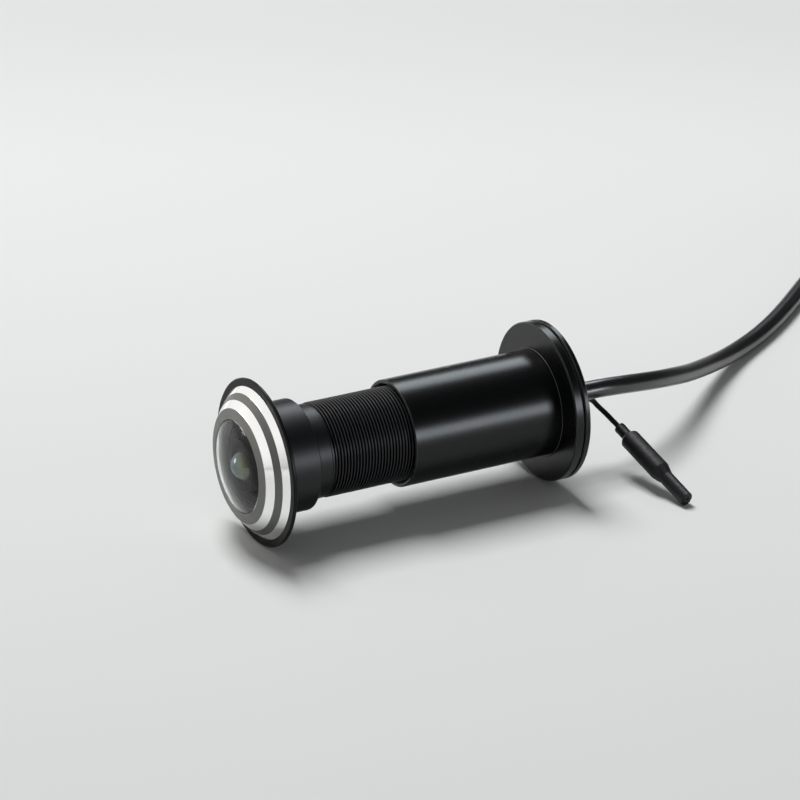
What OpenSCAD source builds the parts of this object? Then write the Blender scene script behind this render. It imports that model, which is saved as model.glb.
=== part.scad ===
// Peephole door camera: a fisheye camera in a threaded barrel, a clamp sleeve that screws up behind the
// door, a rear cap that swivels on the sleeve, a power cable and a small antenna lead.
// Millimetres. The barrel's axis is X, with the lens towards -X. x = 0 is the back face of the front
// flange, which lies on the outside of the door. +Z is up, and the part lies on its front flange.

/* [Front flange] */
// Width of the front flange's land, outside the outer bright ring
land_w = 1.15; // [0.6:0.05:3]
// Thickness of the front flange's rim
flange_t = 0.6; // [0.5:0.05:1.5]
// Chamfer on the edges of both flanges and the rear cap
rim_chamfer = 0.15; // [0.05:0.05:0.25]

/* [Front crown] */
// Clear diameter of the front glass
glass_d = 14; // [13:0.1:15]
// Width of the grey lip around the glass, along the radius
lip_w = 1.55; // [1.5:0.05:2.5]
// Width of the inner bright ring, along the radius
inner_ring_w = 1.1; // [0.6:0.05:1.5]
// Width of the grey band between the bright rings, along the radius
band_w = 0.8; // [0.5:0.05:1.5]
// Width of the outer bright ring, along the radius
outer_ring_w = 0.9; // [0.6:0.05:1.6]
// Rise of the outer bright ring's slope
outer_ring_h = 0.85; // [0.3:0.05:1.2]
// Rise of the grey band's slope
band_h = 0.8; // [0.4:0.05:1.2]
// Rise of the inner bright ring's slope
inner_ring_h = 0.95; // [0.6:0.05:1.4]
// Rise of the lip's slope
lip_h = 0.35; // [0.2:0.05:0.7]
// Height of the glass dome above the lip
glass_sag = 1.5; // [0.6:0.05:1.8]
// Thickness of the glass under the lip
glass_edge_t = 0.8; // [0.6:0.05:1]

/* [Barrel] */
// Bore of the barrel
bore_d = 12; // [11.4:0.1:12.6]
// Wall of the barrel under its thread
barrel_wall = 0.8; // [0.6:0.05:1]
// Depth of the thread
thread_depth = 0.3; // [0.2:0.05:0.5]
// Pitch of the thread
thread_pitch = 0.5; // [0.4:0.05:1]
// Length of the threaded tube
thread_l = 21; // [19:0.5:23]
// Step from the thread's crests down to the smooth neck
neck_step = 0.1; // [0:0.05:0.25]
// Length of the neck
neck_l = 2.5; // [1.5:0.1:4]
// Step from the nose, which carries the crown, up to the hub, which centres the camera in the door's hole
hub_step = 0.4; // [0.2:0.05:1]
// Length of the hub
hub_l = 6.1; // [5:0.1:8]

/* [Clamp sleeve] */
// Gap between the two flanges, which is the door's thickness at this setting
door_t = 46.2; // [45:0.1:48]
// Gap between the thread's crests and the sleeve's plain bore
relief_gap = 0.25; // [0.2:0.05:0.6]
// Wall of the sleeve around its plain bore
sleeve_wall = 0.7; // [0.5:0.05:1.2]
// Length of the sleeve in front of its flange
sleeve_l = 24.6; // [22:0.1:28]
// Length of the sleeve's inner thread
grip_l = 10; // [6:0.5:14]
// Width of the sleeve's flange around the sleeve
rear_flange_w = 4.05; // [3:0.05:6]
// Thickness of the sleeve's flange
rear_flange_t = 1.4; // [1.2:0.1:2]
// Width of the step around the sleeve's foot
foot_w = 0.3; // [0.2:0.05:1.5]
// Height of the step around the sleeve's foot
foot_h = 0.25; // [0.1:0.05:0.5]

/* [Rear cap] */
// Thickness of the rear cap's disc
cap_t = 0.85; // [0.6:0.05:1.5]
// Groove between the sleeve's flange and the rear cap
cap_gap = 0.24; // [0.2:0.02:0.3]
// Diameter of the rubber grommet in the cap
grommet_d = 9.6; // [8.8:0.1:10.4]
// Wall of the cap's spigot, which holds the grommet and turns in the sleeve's flange
spigot_wall = 1.2; // [0.8:0.1:1.3]
// Thickness of the spring clip on the spigot
clip_t = 0.45; // [0.3:0.05:0.5]
// Thickness of the grommet's head
grommet_head_t = 0.6; // [0.4:0.1:0.8]

/* [Optics] */
// Outer diameter of the lens tube
lens_tube_d = 8; // [7.6:0.1:8.2]
// Diameter of the first lens behind the glass
front_lens_d = 6.4; // [6:0.1:6.6]
// Diameter of the last lens
rear_lens_d = 5.8; // [5.4:0.1:6]
// Thickness of the infrared filter
filter_t = 0.3; // [0.2:0.05:0.4]
// Side of the image sensor
sensor_w = 5.6; // [5:0.1:6]
// Thickness of the image sensor
sensor_t = 1; // [0.8:0.1:1.2]

/* [Electronics] */
// Thickness of both circuit boards
board_t = 0.8; // [0.6:0.1:1]
// Space between the main board's long edges and the bore
board_edge_gap = 0.7; // [0.6:0.05:0.9]
// Thickness of the tail plug behind the board's slots
tail_plug_t = 2.6; // [2:0.1:3]
// Depth of the slots that hold the main board in the tail plug
slot_l = 2.2; // [1.5:0.1:3]

/* [Cable and antenna] */
// Diameter of the power cable
cable_d = 2.8; // [2.6:0.1:3]
// Diameter of the antenna's lead
coax_d = 0.8; // [0.7:0.05:0.9]
// Mean radius of the coil's outermost turn
coil_outer_r = 22.7; // [22.5:0.1:24]
// Space between neighbouring turns and layers of the coil
coil_gap = 0.45; // [0.42:0.01:0.5]
// Width of the strap around the coil
strap_w = 6; // [4:0.5:8]
// Thickness of the strap
strap_t = 0.5; // [0.4:0.1:0.8]
// Width of the plug's grip
plug_w = 15; // [14:0.5:16]
// Height of the plug's grip
plug_h = 8; // [7:0.5:8]
// Length of the plug's grip
plug_l = 20; // [16:1:26]
// Diameter of the antenna's body
antenna_d = 3.1; // [2.9:0.1:3.2]
// Diameter of the antenna's tip
antenna_tip_d = 2.2; // [2:0.1:2.3]

/* [Hidden] */
$fn = 96;

// Clearances, and how far a cut runs past the faces that it opens
press_clear = 0.02;
seat_clear = 0.05;
run_clear = 0.06;
wire_clear = 0.15;
hood_clear = 0.25;
over = 1;

// Diameters of the front crown, from the glass outwards
lip_d = glass_d + 2 * lip_w;
inner_ring_d = lip_d + 2 * inner_ring_w;
band_d = inner_ring_d + 2 * band_w;
outer_ring_d = band_d + 2 * outer_ring_w;
flange_d = outer_ring_d + 2 * land_w;

// Stations of the front crown, from the flange's face forwards
ring_seat_depth = 0.25;
land_x = -flange_t;
ring_seat_x = land_x + ring_seat_depth;
outer_ring_x = land_x - outer_ring_h;
band_x = outer_ring_x - band_h;
inner_seat_x = band_x + ring_seat_depth;
inner_ring_x = band_x - inner_ring_h;
lip_x = inner_ring_x - lip_h;
lip_edge_t = 0.35;
glass_front_x = lip_x + lip_edge_t;
glass_rear_x = glass_front_x + glass_edge_t;
glass_rim_w = 0.6;
glass_rim_r = glass_d / 2 + glass_rim_w;
hollow_land = 1.35;
hollow_rise = 0.25;
pocket_r = glass_rim_r + seat_clear;
seal_t = 0.5;
seal_w = 1.15;
hood_x = glass_rear_x + seal_t;
hood_rim_t = 0.75;
hood_wall = 0.6;
hood_l = 1.3;
spigot_x = hood_x + hood_rim_t;

// Radii of the nose, which the crown is pressed onto, and of the hub
nose_wall = 0.25;
nose_r = pocket_r + nose_wall;
hub_r = nose_r + hub_step;
collar_step = 0.5;
collar_r = hub_r + collar_step;
collar_depth = 0.15;
bore_lip = 0.75;
front_bore_r = pocket_r - bore_lip;

// Radii and stations of the barrel
barrel_r = bore_d / 2;
root_r = barrel_r + barrel_wall;
thread_r = root_r + thread_depth;
neck_r = thread_r - neck_step;
step_x = 3.6;
thread_x = hub_l + neck_l;
barrel_end_x = thread_x + thread_l;
thread_turns = floor(thread_l / thread_pitch);
thread_flat = thread_pitch / 8;

// Stations of the optics, from the step in the bore that the lens holder rests on
holder_flange_t = 1.2;
lens_tube_r = lens_tube_d / 2;
lens_proud = 0.45;
lens_depth = 1.6;
lens_tube_x = glass_rear_x - lens_proud;
lens_tube_end_x = step_x + lens_depth;
lens_edge = 0.25;
lens_seat_l = 1.3;
lens_rim_t = 0.7;
lens_stop_r = 2.2;
front_lens_sag = 0.9;
rear_lens_sag = 0.4;
ledge_gap = 0.1;
ledge_t = 0.4;
ledge_x = lens_tube_end_x + ledge_gap;
filter_x = ledge_x + ledge_t;
filter_r = 3.6;
sensor_gap = 0.4;
sensor_clear = 0.34;
sensor_x = filter_x + filter_t + sensor_gap;
sensor_board_x = sensor_x + sensor_t;
sensor_board_end_x = sensor_board_x + board_t;
cavity_r = sensor_w / sqrt(2) + sensor_clear;
holder_clear = 0.1;
holder_r = barrel_r - holder_clear;
screw_r = 0.4;
screw_head_r = 0.6;
screw_head_t = 0.4;
screw_hole_l = 1.6;
screw_l = 1.5;
screw_pcr = (cavity_r + holder_r) / 2;

// Stations of the electronics; the main board stands along the axis with its parts on both sides
plug_inset = 0.4;
plug_end_x = barrel_end_x - plug_inset;
plug_x = plug_end_x - tail_plug_t;
slot_x = plug_x - slot_l;
part_gap = 0.4;
board_front_gap = 0.3;
board_end_gap = 0.2;
board_x = sensor_board_end_x + board_front_gap;
board_end_x = plug_x - board_end_gap;
board_face = board_t / 2;
board_half_w = barrel_r - board_edge_gap;
tail_plug_r = barrel_r - seat_clear;
slot_wall = 1.25;
link_size = [2, 1.8, 6];
processor_size = [5.4, 0.9, 5.4];
flash_size = [4, 0.8, 3];
wifi_size = [7, 1.8, 7];
inductor_size = [3, 1.5, 3];
inductor_z = 2.3;
connector_size = [2.4, 2, 2.5];
antenna_plug_size = [2.6, 1.5, 2.4];
connector_x = slot_x - connector_size.x;
antenna_plug_x = connector_x - part_gap - antenna_plug_size.x;
inductor_x = connector_x - part_gap - inductor_size.x;
processor_x = sensor_board_end_x + link_size.x + part_gap;
flash_x = processor_x;
wifi_x = flash_x + flash_size.x + part_gap;
socket_r = 1;
socket_h = 0.6;
lead_r = 0.3;
lead_y = board_face + lead_r + seat_clear;
lead_z = 0.65;
cable_inset = 0.2;
cable_start_x = plug_x + cable_inset;
coax_rise = 0.9;
coax_y = board_face + socket_h + coax_rise;
coax_z = -2;
coax_start_x = antenna_plug_x + antenna_plug_size.x;

// Radii and stations of the sleeve, outwards from the thread
sleeve_x = door_t - sleeve_l;
sleeve_bore_r = thread_r + run_clear;
relief_r = thread_r + relief_gap;
sleeve_r = relief_r + sleeve_wall;
foot_r = sleeve_r + foot_w;
rear_flange_r = sleeve_r + rear_flange_w;
mouth_chamfer = 0.4;
web_inset = 0.1;
web_x = door_t + web_inset;
flange_end_x = door_t + rear_flange_t;

// Radii and stations of the rear cap, outwards from the grommet
grommet_r = grommet_d / 2;
spigot_r = grommet_r + spigot_wall;
web_bore_r = spigot_r + run_clear;
clip_groove_depth = 0.5;
clip_ledge = 0.8;
clip_groove_r = spigot_r - clip_groove_depth;
clip_r = spigot_r + clip_ledge;
clip_play = 0.2;
clip_gap_w = 3;
cap_x = flange_end_x + cap_gap;
cap_end_x = cap_x + cap_t;
clip_x = web_x - clip_play - clip_t;
spigot_tip = 0.4;
cap_front_x = clip_x - spigot_tip;
washer_t = cap_gap - run_clear;
washer_inset = 0.8;
washer_gap = 0.3;
washer_r = rear_flange_r - washer_inset;
washer_bore_r = spigot_r + washer_gap;
grommet_head_w = 1.2;
grommet_head_r = grommet_r + grommet_head_w;
grommet_edge = 0.2;
grommet_inset = 0.4;
grommet_x = cap_front_x + grommet_inset;

// The surface that the part lies on
floor_z = -flange_d / 2;
cable_r = cable_d / 2;
coax_r = coax_d / 2;

// Coil of the spare cable: it winds in on the lower layer and out again on the upper one
coil_centre = [150.5, 37];
coil_start = 130;
coil_sweep = 8 * 360 + coil_start;
coil_steps = 24;
coil_sides = 6;
cable_sides = 8;
coil_pitch = cable_d + coil_gap;
coil_inner_r = coil_outer_r - coil_pitch * coil_sweep / 720;
strap_gap = 0.1;
strap_corner_r = 1;
coil_low_z = floor_z + strap_t + strap_gap + cable_r;

// Route of the power cable: straight through the cap, then down to the floor and away
cable_route = [
    [56, 0, 0], [61, 0.2, -0.3], [67.5, 2.4, -1.8], [72, 5, -3.2], [76.5, 8.1, -4.8], [80.2, 11, -6.2],
    [84, 14, -7.4], [87.6, 17, -8.6], [91.4, 19.8, -9.6], [98, 24.6, -10.8], [104.4, 28.6, -11],
    [111.7, 34, -11], [120.4, 41.4, -11], [127, 47, -10.8]
];

// Route of the antenna's lead: straight through the cap, then down to the antenna
coax_route = [
    [54.5, coax_y, coax_z], [55.6, 1.85, -2.05], [56.8, 1.4, -2.4], [57.4, 0.6, -3.2],
    [58, -0.6, -4], [58.5, -1.8, -4.8]
];
antenna_from = [59, -3.1, -5.6];
antenna_to = [61, -19.4, -11.4];
antenna_l = norm(antenna_to - antenna_from);
collar_l = 2.2;
antenna_collar_r = 0.86;
sheath_slope = 0.6;
end_wall = 0.2;
body_x = collar_l + sheath_slope;
tube_x = body_x + end_wall;
shoulder_x = 10.6;
tube_end_x = shoulder_x - end_wall;
tip_x = 12.2;
sheath_wall = 0.4;
antenna_core_r = 0.5;

// Plug at the cable's far end, which lies beside the coil
relief_l = 8;
relief_wall = 0.6;
relief_r1 = cable_r + relief_wall;
relief_r2 = 3.2;
plug_z = floor_z + plug_h / 2;
plug_edge_r = 1.5;
tail_drop = [10, 13];
tail_l = 16;
usb_w = 12;
usb_h = 4.5;
usb_l = 16;
usb_wall = 0.3;
usb_edge_r = 0.5;
tongue_t = 1.9;
tongue_l = 14;

black = [0.05, 0.05, 0.055];
satin_black = [0.09, 0.09, 0.1];
bright = [0.88, 0.88, 0.87];
grey = [0.42, 0.42, 0.41];
clear = [0.75, 0.82, 0.86, 0.5];
board_green = [0.05, 0.3, 0.16];
chip_black = [0.12, 0.12, 0.13];
steel = [0.7, 0.71, 0.73];
brass = [0.75, 0.6, 0.28];
white_plastic = [0.88, 0.87, 0.82];
rubber = [0.08, 0.08, 0.085];

// Shapes about the barrel's axis

// Solid turned about X; each point is [x, radius]
module turned(points) {
    rotate([0, 90, 0]) rotate_extrude() polygon([for (p = points) [p[1], p[0]]]);
}

module disc(r, x1, x2) {
    translate([x1, 0, 0]) rotate([0, 90, 0]) cylinder(r = r, h = x2 - x1);
}

module tube(r, hole_r, x1, x2) {
    turned([[x1, hole_r], [x1, r], [x2, r], [x2, hole_r]]);
}

// Round cap of a lens: base radius a at x, bulging by sag towards -X
module lens_cap(a, x, sag) {
    ball_r = (a * a + sag * sag) / (2 * sag);
    intersection() {
        disc(a, x - sag, x);
        translate([x - sag + ball_r, 0, 0]) rotate([0, 90, 0]) sphere(r = ball_r);
    }
}

// Box by its low corner in X and Z-centre, standing on the board's face on one side
module on_board(size, x, z = 0, side = 1) {
    y = side > 0 ? board_face : -board_face - size.y;
    translate([x, y, z - size.z / 2]) cube(size);
}

// Two holes through the cap, the tail plug or the grommet: power cable and antenna lead
module wire_holes(x1, x2, clearance) {
    disc(cable_r + clearance, x1, x2);
    translate([0, coax_y, coax_z]) disc(coax_r + clearance, x1, x2);
}

// Shapes along a route

function unit(v) = v / norm(v);

function tangent(p, i) = unit(p[min(i + 1, len(p) - 1)] - p[max(i - 1, 0)]);

function ring(centre, t, r, sides) =
    let (side = unit(cross(t, [0, 0, 1])), up = cross(side, t))
    [for (k = [0:sides - 1]) centre + r * (cos(k * 360 / sides) * side + sin(k * 360 / sides) * up)];

// Closed tube of triangles swept along the points of a route
module swept(route, r, sides) {
    rings = len(route);
    last = (rings - 1) * sides;
    points = [for (i = [0:rings - 1]) each ring(route[i], tangent(route, i), r, sides)];
    wall = [
        for (i = [0:rings - 2], k = [0:sides - 1])
            let (a = i * sides + k, b = i * sides + (k + 1) % sides)
            each [[a, b + sides, a + sides], [a, b, b + sides]]
    ];
    ends = [for (k = [1:sides - 2]) each [[0, k + 1, k], [last, last + k, last + k + 1]]];
    polyhedron(points, concat(wall, ends));
}

// Places its children with +Z along the line from one point towards another
module along(from, to) {
    d = to - from;
    translate(from) rotate([0, acos(d.z / norm(d)), atan2(d.y, d.x)]) children();
}

// Coil of the spare cable

function eased(t) = let (u = min(max(t, 0), 1)) u * u * (3 - 2 * u);

function coil_r(a) = coil_inner_r + coil_pitch * abs(a - coil_sweep / 2) / 360;

function coil_z(a) = coil_low_z + coil_pitch * eased((a - coil_sweep / 2 + 90) / 180);

function coil_point(a) = [
    coil_centre.x + coil_r(a) * cos(coil_start - a),
    coil_centre.y + coil_r(a) * sin(coil_start - a),
    coil_z(a)
];

function coil_heading(a) = [sin(coil_start - a), -cos(coil_start - a), 0];

coil_turn_points = [for (a = [0:360 / coil_steps:coil_sweep]) coil_point(a)];
coil_in = coil_point(0) - cable_d * coil_heading(0);
coil_out = coil_point(coil_sweep) + cable_d * coil_heading(coil_sweep);
coil_route = concat([coil_in], coil_turn_points, [coil_point(coil_sweep), coil_out]);
coil_least_gap = min([
    for (i = [0:len(coil_turn_points) - 1], j = [i + coil_steps / 2:len(coil_turn_points) - 1])
        norm(coil_turn_points[i] - coil_turn_points[j])
]) - cable_d;
echo(coil_least_gap = coil_least_gap);

plug_at = [coil_out.x, coil_out.y - tail_l, plug_z];
whole_cable_route = concat(
    [[cable_start_x, 0, 0]], cable_route, [coil_in - cable_d * coil_heading(0), coil_in]
);
tail_route = [
    coil_out,
    coil_out + cable_d * coil_heading(coil_sweep),
    [coil_out.x, coil_out.y - tail_drop[0], plug_z],
    [coil_out.x, coil_out.y - tail_drop[1], plug_z],
    plug_at
];
whole_coax_route = concat(
    [[coax_start_x, coax_y, coax_z]],
    coax_route,
    [antenna_from, antenna_from + collar_l * unit(antenna_to - antenna_from)]
);

function route_length(p) = len(p) < 2 ? 0 : [for (i = 1, s = 0; i <= len(p);
    s = s + (i < len(p) ? norm(p[i] - p[i - 1]) : 0), i = i + 1) s][len(p) - 1];

echo(cable_length = route_length(whole_cable_route) + route_length(coil_route) + route_length(tail_route));
echo(coax_length = route_length(whole_coax_route));

// Rectangle with round corners, centred
module round_rect(w, h, r) {
    square([w - 2 * r, h], center = true);
    square([w, h - 2 * r], center = true);
    for (x = [-1, 1], y = [-1, 1]) translate([x * (w / 2 - r), y * (h / 2 - r)]) circle(r = r, $fn = 32);
}

// Front of the camera

module front_flange() {
    r = flange_d / 2;
    hole_r = nose_r + press_clear;
    ring_recess_r = outer_ring_d / 2 + press_clear;
    collar_recess_r = collar_r + press_clear;
    color(satin_black) turned([
        [-collar_depth, hole_r], [-collar_depth, collar_recess_r], [0, collar_recess_r],
        [0, r - rim_chamfer], [-rim_chamfer, r], [land_x + rim_chamfer, r], [land_x, r - rim_chamfer],
        [land_x, ring_recess_r], [ring_seat_x, ring_recess_r], [ring_seat_x, hole_r]
    ]);
}

module outer_trim_ring() {
    inner_r = band_d / 2 + press_clear;
    color(bright) turned([
        [ring_seat_x, inner_r], [ring_seat_x, outer_ring_d / 2], [land_x, outer_ring_d / 2],
        [outer_ring_x, inner_r]
    ]);
}

module bezel_ring() {
    nose_bore_r = nose_r + press_clear;
    color(grey) turned([
        [ring_seat_x, nose_bore_r], [ring_seat_x, band_d / 2], [outer_ring_x, band_d / 2],
        [band_x, inner_ring_d / 2], [inner_seat_x, inner_ring_d / 2], [inner_seat_x, lip_d / 2],
        [inner_ring_x, lip_d / 2], [lip_x, glass_d / 2], [glass_front_x, glass_d / 2],
        [glass_front_x, pocket_r], [spigot_x, pocket_r], [spigot_x, nose_bore_r]
    ]);
}

module inner_trim_ring() {
    inner_r = lip_d / 2 + press_clear;
    outer_r = inner_ring_d / 2 - press_clear;
    color(bright) turned([
        [inner_seat_x, inner_r], [inner_seat_x, outer_r], [band_x, outer_r], [inner_ring_x, inner_r]
    ]);
}

module front_glass() {
    dome_r = glass_d / 2 - seat_clear;
    hollow_r = dome_r - hollow_land;
    color(clear) difference() {
        union() {
            disc(glass_rim_r, glass_front_x, glass_rear_x);
            disc(dome_r, lip_x + seat_clear, glass_front_x);
            lens_cap(dome_r, lip_x + seat_clear, glass_sag);
        }
        lens_cap(hollow_r, glass_rear_x, glass_edge_t + hollow_rise);
    }
}

module glass_seal() {
    color(rubber) tube(glass_rim_r, glass_rim_r - seal_w, glass_rear_x, hood_x);
}

module lens_hood() {
    mouth_r = glass_rim_r - seal_w;
    throat_r = lens_tube_r + hood_clear;
    throat_x = spigot_x + hood_l;
    color(black) turned([
        [hood_x, mouth_r], [hood_x, glass_rim_r], [spigot_x, glass_rim_r],
        [spigot_x, mouth_r + seat_clear], [throat_x, throat_r], [throat_x - hood_wall, throat_r]
    ]);
}

// Optics

module lens_tube() {
    front_r = front_lens_d / 2 + seat_clear;
    rear_r = rear_lens_d / 2 + seat_clear;
    front_seat_x = lens_tube_x + lens_seat_l;
    rear_seat_x = lens_tube_end_x - lens_seat_l;
    color(black) turned([
        [lens_tube_x, front_r], [lens_tube_x, lens_tube_r - lens_edge],
        [lens_tube_x + lens_edge, lens_tube_r], [lens_tube_end_x, lens_tube_r],
        [lens_tube_end_x, rear_r], [rear_seat_x, rear_r], [rear_seat_x, lens_stop_r],
        [front_seat_x, lens_stop_r], [front_seat_x, front_r]
    ]);
}

module front_lens() {
    r = front_lens_d / 2;
    rear_x = lens_tube_x + lens_seat_l;
    color(clear) {
        disc(r, rear_x - lens_rim_t, rear_x);
        lens_cap(r, rear_x - lens_rim_t, front_lens_sag);
    }
}

module rear_lens() {
    r = rear_lens_d / 2;
    front_x = lens_tube_end_x - lens_seat_l;
    color(clear) {
        disc(r, front_x, front_x + lens_rim_t);
        mirror([1, 0, 0]) lens_cap(r, -front_x - lens_rim_t, rear_lens_sag);
    }
}

module lens_holder() {
    tube_bore_r = lens_tube_r + press_clear;
    flange_x = step_x - holder_flange_t;
    flange_r = front_bore_r - seat_clear;
    color(chip_black) difference() {
        turned([
            [flange_x, tube_bore_r], [flange_x, flange_r], [step_x, flange_r], [step_x, holder_r],
            [sensor_board_x, holder_r], [sensor_board_x, cavity_r], [filter_x, cavity_r],
            [filter_x, rear_lens_d / 2], [ledge_x, rear_lens_d / 2], [ledge_x, tube_bore_r]
        ]);
        screw_places() disc(screw_r + press_clear, -screw_hole_l, over);
    }
}

// Both places where a screw goes through the sensor board into the holder
module screw_places() {
    for (side = [-1, 1]) translate([sensor_board_x, side * screw_pcr, 0]) children();
}

module ir_cut_filter() {
    color([0.5, 0.75, 0.8, 0.6]) disc(filter_r, filter_x, filter_x + filter_t);
}

module image_sensor() {
    color(chip_black) translate([sensor_x, -sensor_w / 2, -sensor_w / 2])
        cube([sensor_t, sensor_w, sensor_w]);
}

module sensor_board() {
    color(board_green) difference() {
        disc(holder_r - seat_clear, sensor_board_x, sensor_board_end_x);
        screw_places() disc(screw_r + seat_clear, -over, board_t + over);
    }
}

module sensor_board_screws() {
    color(steel) screw_places() {
        disc(screw_r, -screw_l, board_t);
        disc(screw_head_r, board_t, board_t + screw_head_t);
    }
}

// Electronics

module board_link() {
    color(white_plastic) on_board(link_size, sensor_board_end_x);
}

module main_board() {
    color(board_green) translate([board_x, -board_face, -board_half_w])
        cube([board_end_x - board_x, board_t, 2 * board_half_w]);
}

module processor() {
    color(chip_black) on_board(processor_size, processor_x);
}

module flash_memory() {
    color(chip_black) on_board(flash_size, flash_x, 0, -1);
}

module wifi_module() {
    color(steel) on_board(wifi_size, wifi_x, 0, -1);
}

module power_inductor() {
    color(chip_black) on_board(inductor_size, inductor_x, inductor_z);
}

module antenna_socket() {
    color(brass) translate([antenna_plug_x + antenna_plug_size.x / 2, board_face, coax_z])
        rotate([-90, 0, 0]) cylinder(r = socket_r, h = socket_h);
}

module antenna_plug() {
    color(brass) translate([0, socket_h, 0]) on_board(antenna_plug_size, antenna_plug_x, coax_z);
}

module power_connector() {
    color(white_plastic) on_board(connector_size, connector_x);
}

module power_leads() {
    color([0.7, 0.1, 0.1]) for (side = [-1, 1]) translate([0, lead_y, side * lead_z])
        disc(lead_r, connector_x + connector_size.x, cable_start_x);
}

// Barrel

// Profile of the thread's ridges, one after another, as [x, radius]
function thread_profile() = [
    for (i = [0:thread_turns - 1])
        let (x = thread_x + i * thread_pitch)
        each [
            [x + thread_flat / 2, root_r],
            [x + (thread_pitch - thread_flat) / 2, thread_r],
            [x + (thread_pitch + thread_flat) / 2, thread_r],
            [x + thread_pitch - thread_flat / 2, root_r]
        ]
];

module barrel() {
    color(satin_black) turned(concat(
        [
            [step_x, barrel_r], [step_x, front_bore_r], [spigot_x, front_bore_r], [spigot_x, nose_r],
            [-collar_depth, nose_r], [-collar_depth, collar_r], [0, collar_r], [0, hub_r],
            [hub_l - rim_chamfer, hub_r], [hub_l, hub_r - rim_chamfer], [hub_l, neck_r],
            [thread_x, neck_r], [thread_x, root_r]
        ],
        thread_profile(),
        [[barrel_end_x, root_r], [barrel_end_x, barrel_r]]
    ));
}

module tail_plug() {
    color(rubber) difference() {
        union() {
            disc(tail_plug_r, plug_x, plug_end_x);
            tube(tail_plug_r, tail_plug_r - slot_wall, slot_x, plug_x);
        }
        wire_holes(plug_x - over, plug_end_x + over, press_clear);
        translate([slot_x - over, -board_face - seat_clear, -board_half_w - seat_clear])
            cube([slot_l + over, board_t + 2 * seat_clear, 2 * (board_half_w + seat_clear)]);
    }
}

// Clamp sleeve and rear cap

module clamp_sleeve() {
    grip_end_x = sleeve_x + grip_l;
    color(black) turned([
        [sleeve_x, sleeve_bore_r + mouth_chamfer], [sleeve_x, sleeve_r - rim_chamfer],
        [sleeve_x + rim_chamfer, sleeve_r], [door_t - foot_h, sleeve_r], [door_t - foot_h, foot_r],
        [door_t, foot_r], [door_t, rear_flange_r - rim_chamfer], [door_t + rim_chamfer, rear_flange_r],
        [flange_end_x - rim_chamfer, rear_flange_r], [flange_end_x, rear_flange_r - rim_chamfer],
        [flange_end_x, web_bore_r], [web_x, web_bore_r], [web_x, relief_r], [grip_end_x, relief_r],
        [grip_end_x, sleeve_bore_r], [sleeve_x + mouth_chamfer, sleeve_bore_r]
    ]);
}

module rear_cap() {
    bore_r = grommet_r + press_clear;
    groove_end_x = clip_x + clip_t + seat_clear;
    color(black) turned([
        [cap_front_x, bore_r], [cap_front_x, spigot_r], [clip_x, spigot_r], [clip_x, clip_groove_r],
        [groove_end_x, clip_groove_r], [groove_end_x, spigot_r], [cap_x, spigot_r],
        [cap_x, rear_flange_r - rim_chamfer], [cap_x + rim_chamfer, rear_flange_r],
        [cap_end_x - rim_chamfer, rear_flange_r], [cap_end_x, rear_flange_r - rim_chamfer],
        [cap_end_x, bore_r]
    ]);
}

module cap_grommet() {
    head_x = cap_end_x + grommet_head_t;
    color(rubber) difference() {
        turned([
            [grommet_x, 0], [grommet_x, grommet_r], [cap_end_x, grommet_r], [cap_end_x, grommet_head_r],
            [head_x - grommet_edge, grommet_head_r], [head_x, grommet_head_r - grommet_edge], [head_x, 0]
        ]);
        wire_holes(grommet_x - over, head_x + over, wire_clear);
    }
}

module cap_clip() {
    color(steel) difference() {
        tube(clip_r, clip_groove_r + press_clear, clip_x, clip_x + clip_t);
        translate([clip_x - over, -clip_gap_w / 2, 0]) cube([clip_t + 2 * over, clip_gap_w, clip_r + over]);
    }
}

module swivel_washer() {
    color(white_plastic) tube(washer_r, washer_bore_r, cap_x - washer_t, cap_x);
}

// Cable, coil and plug

module power_cable() {
    color(rubber) swept(whole_cable_route, cable_r, cable_sides);
}

module cable_coil() {
    color(rubber) swept(coil_route, cable_r, coil_sides);
}

module cable_tail() {
    color(rubber) swept(tail_route, cable_r, cable_sides);
}

// Strap around the coil's turns on the near side
module coil_strap() {
    inner_w = coil_outer_r - coil_inner_r + cable_d + 2 * strap_gap;
    inner_h = coil_pitch + cable_d + 2 * strap_gap;
    centre_y = coil_centre.y - (coil_outer_r + coil_inner_r) / 2;
    centre_z = coil_low_z + coil_pitch / 2;
    color(chip_black) translate([coil_centre.x - strap_w / 2, centre_y, centre_z])
        rotate([90, 0, 90]) linear_extrude(strap_w) difference() {
            round_rect(inner_w + 2 * strap_t, inner_h + 2 * strap_t, strap_corner_r + strap_t);
            round_rect(inner_w, inner_h, strap_corner_r);
        }
}

// Places its children at the plug, with +Z pointing out of its end and +Y up
module at_plug(distance) {
    translate(plug_at) rotate([90, 0, 0]) translate([0, 0, distance]) children();
}

module usb_grip() {
    color(rubber) at_plug(0) {
        cylinder(r1 = relief_r1, r2 = relief_r2, h = relief_l);
        translate([0, 0, relief_l]) linear_extrude(plug_l) round_rect(plug_w, plug_h, plug_edge_r);
    }
}

module usb_shell() {
    color(steel) at_plug(relief_l + plug_l) linear_extrude(usb_l) difference() {
        round_rect(usb_w, usb_h, usb_edge_r);
        square([usb_w - 2 * usb_wall, usb_h - 2 * usb_wall], center = true);
    }
}

module usb_tongue() {
    w = usb_w - 2 * usb_wall - 2 * seat_clear;
    low = -usb_h / 2 + usb_wall + seat_clear;
    color(white_plastic) at_plug(relief_l + plug_l) translate([-w / 2, low, 0]) cube([w, tongue_t, tongue_l]);
}

// Antenna

module antenna_coax() {
    color(rubber) swept(whole_coax_route, coax_r, cable_sides);
}

module antenna_collar() {
    color(rubber) along(antenna_from, antenna_to) difference() {
        cylinder(r = antenna_collar_r, h = collar_l);
        translate([0, 0, -over]) cylinder(r = coax_r + seat_clear, h = collar_l + 2 * over);
    }
}

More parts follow.
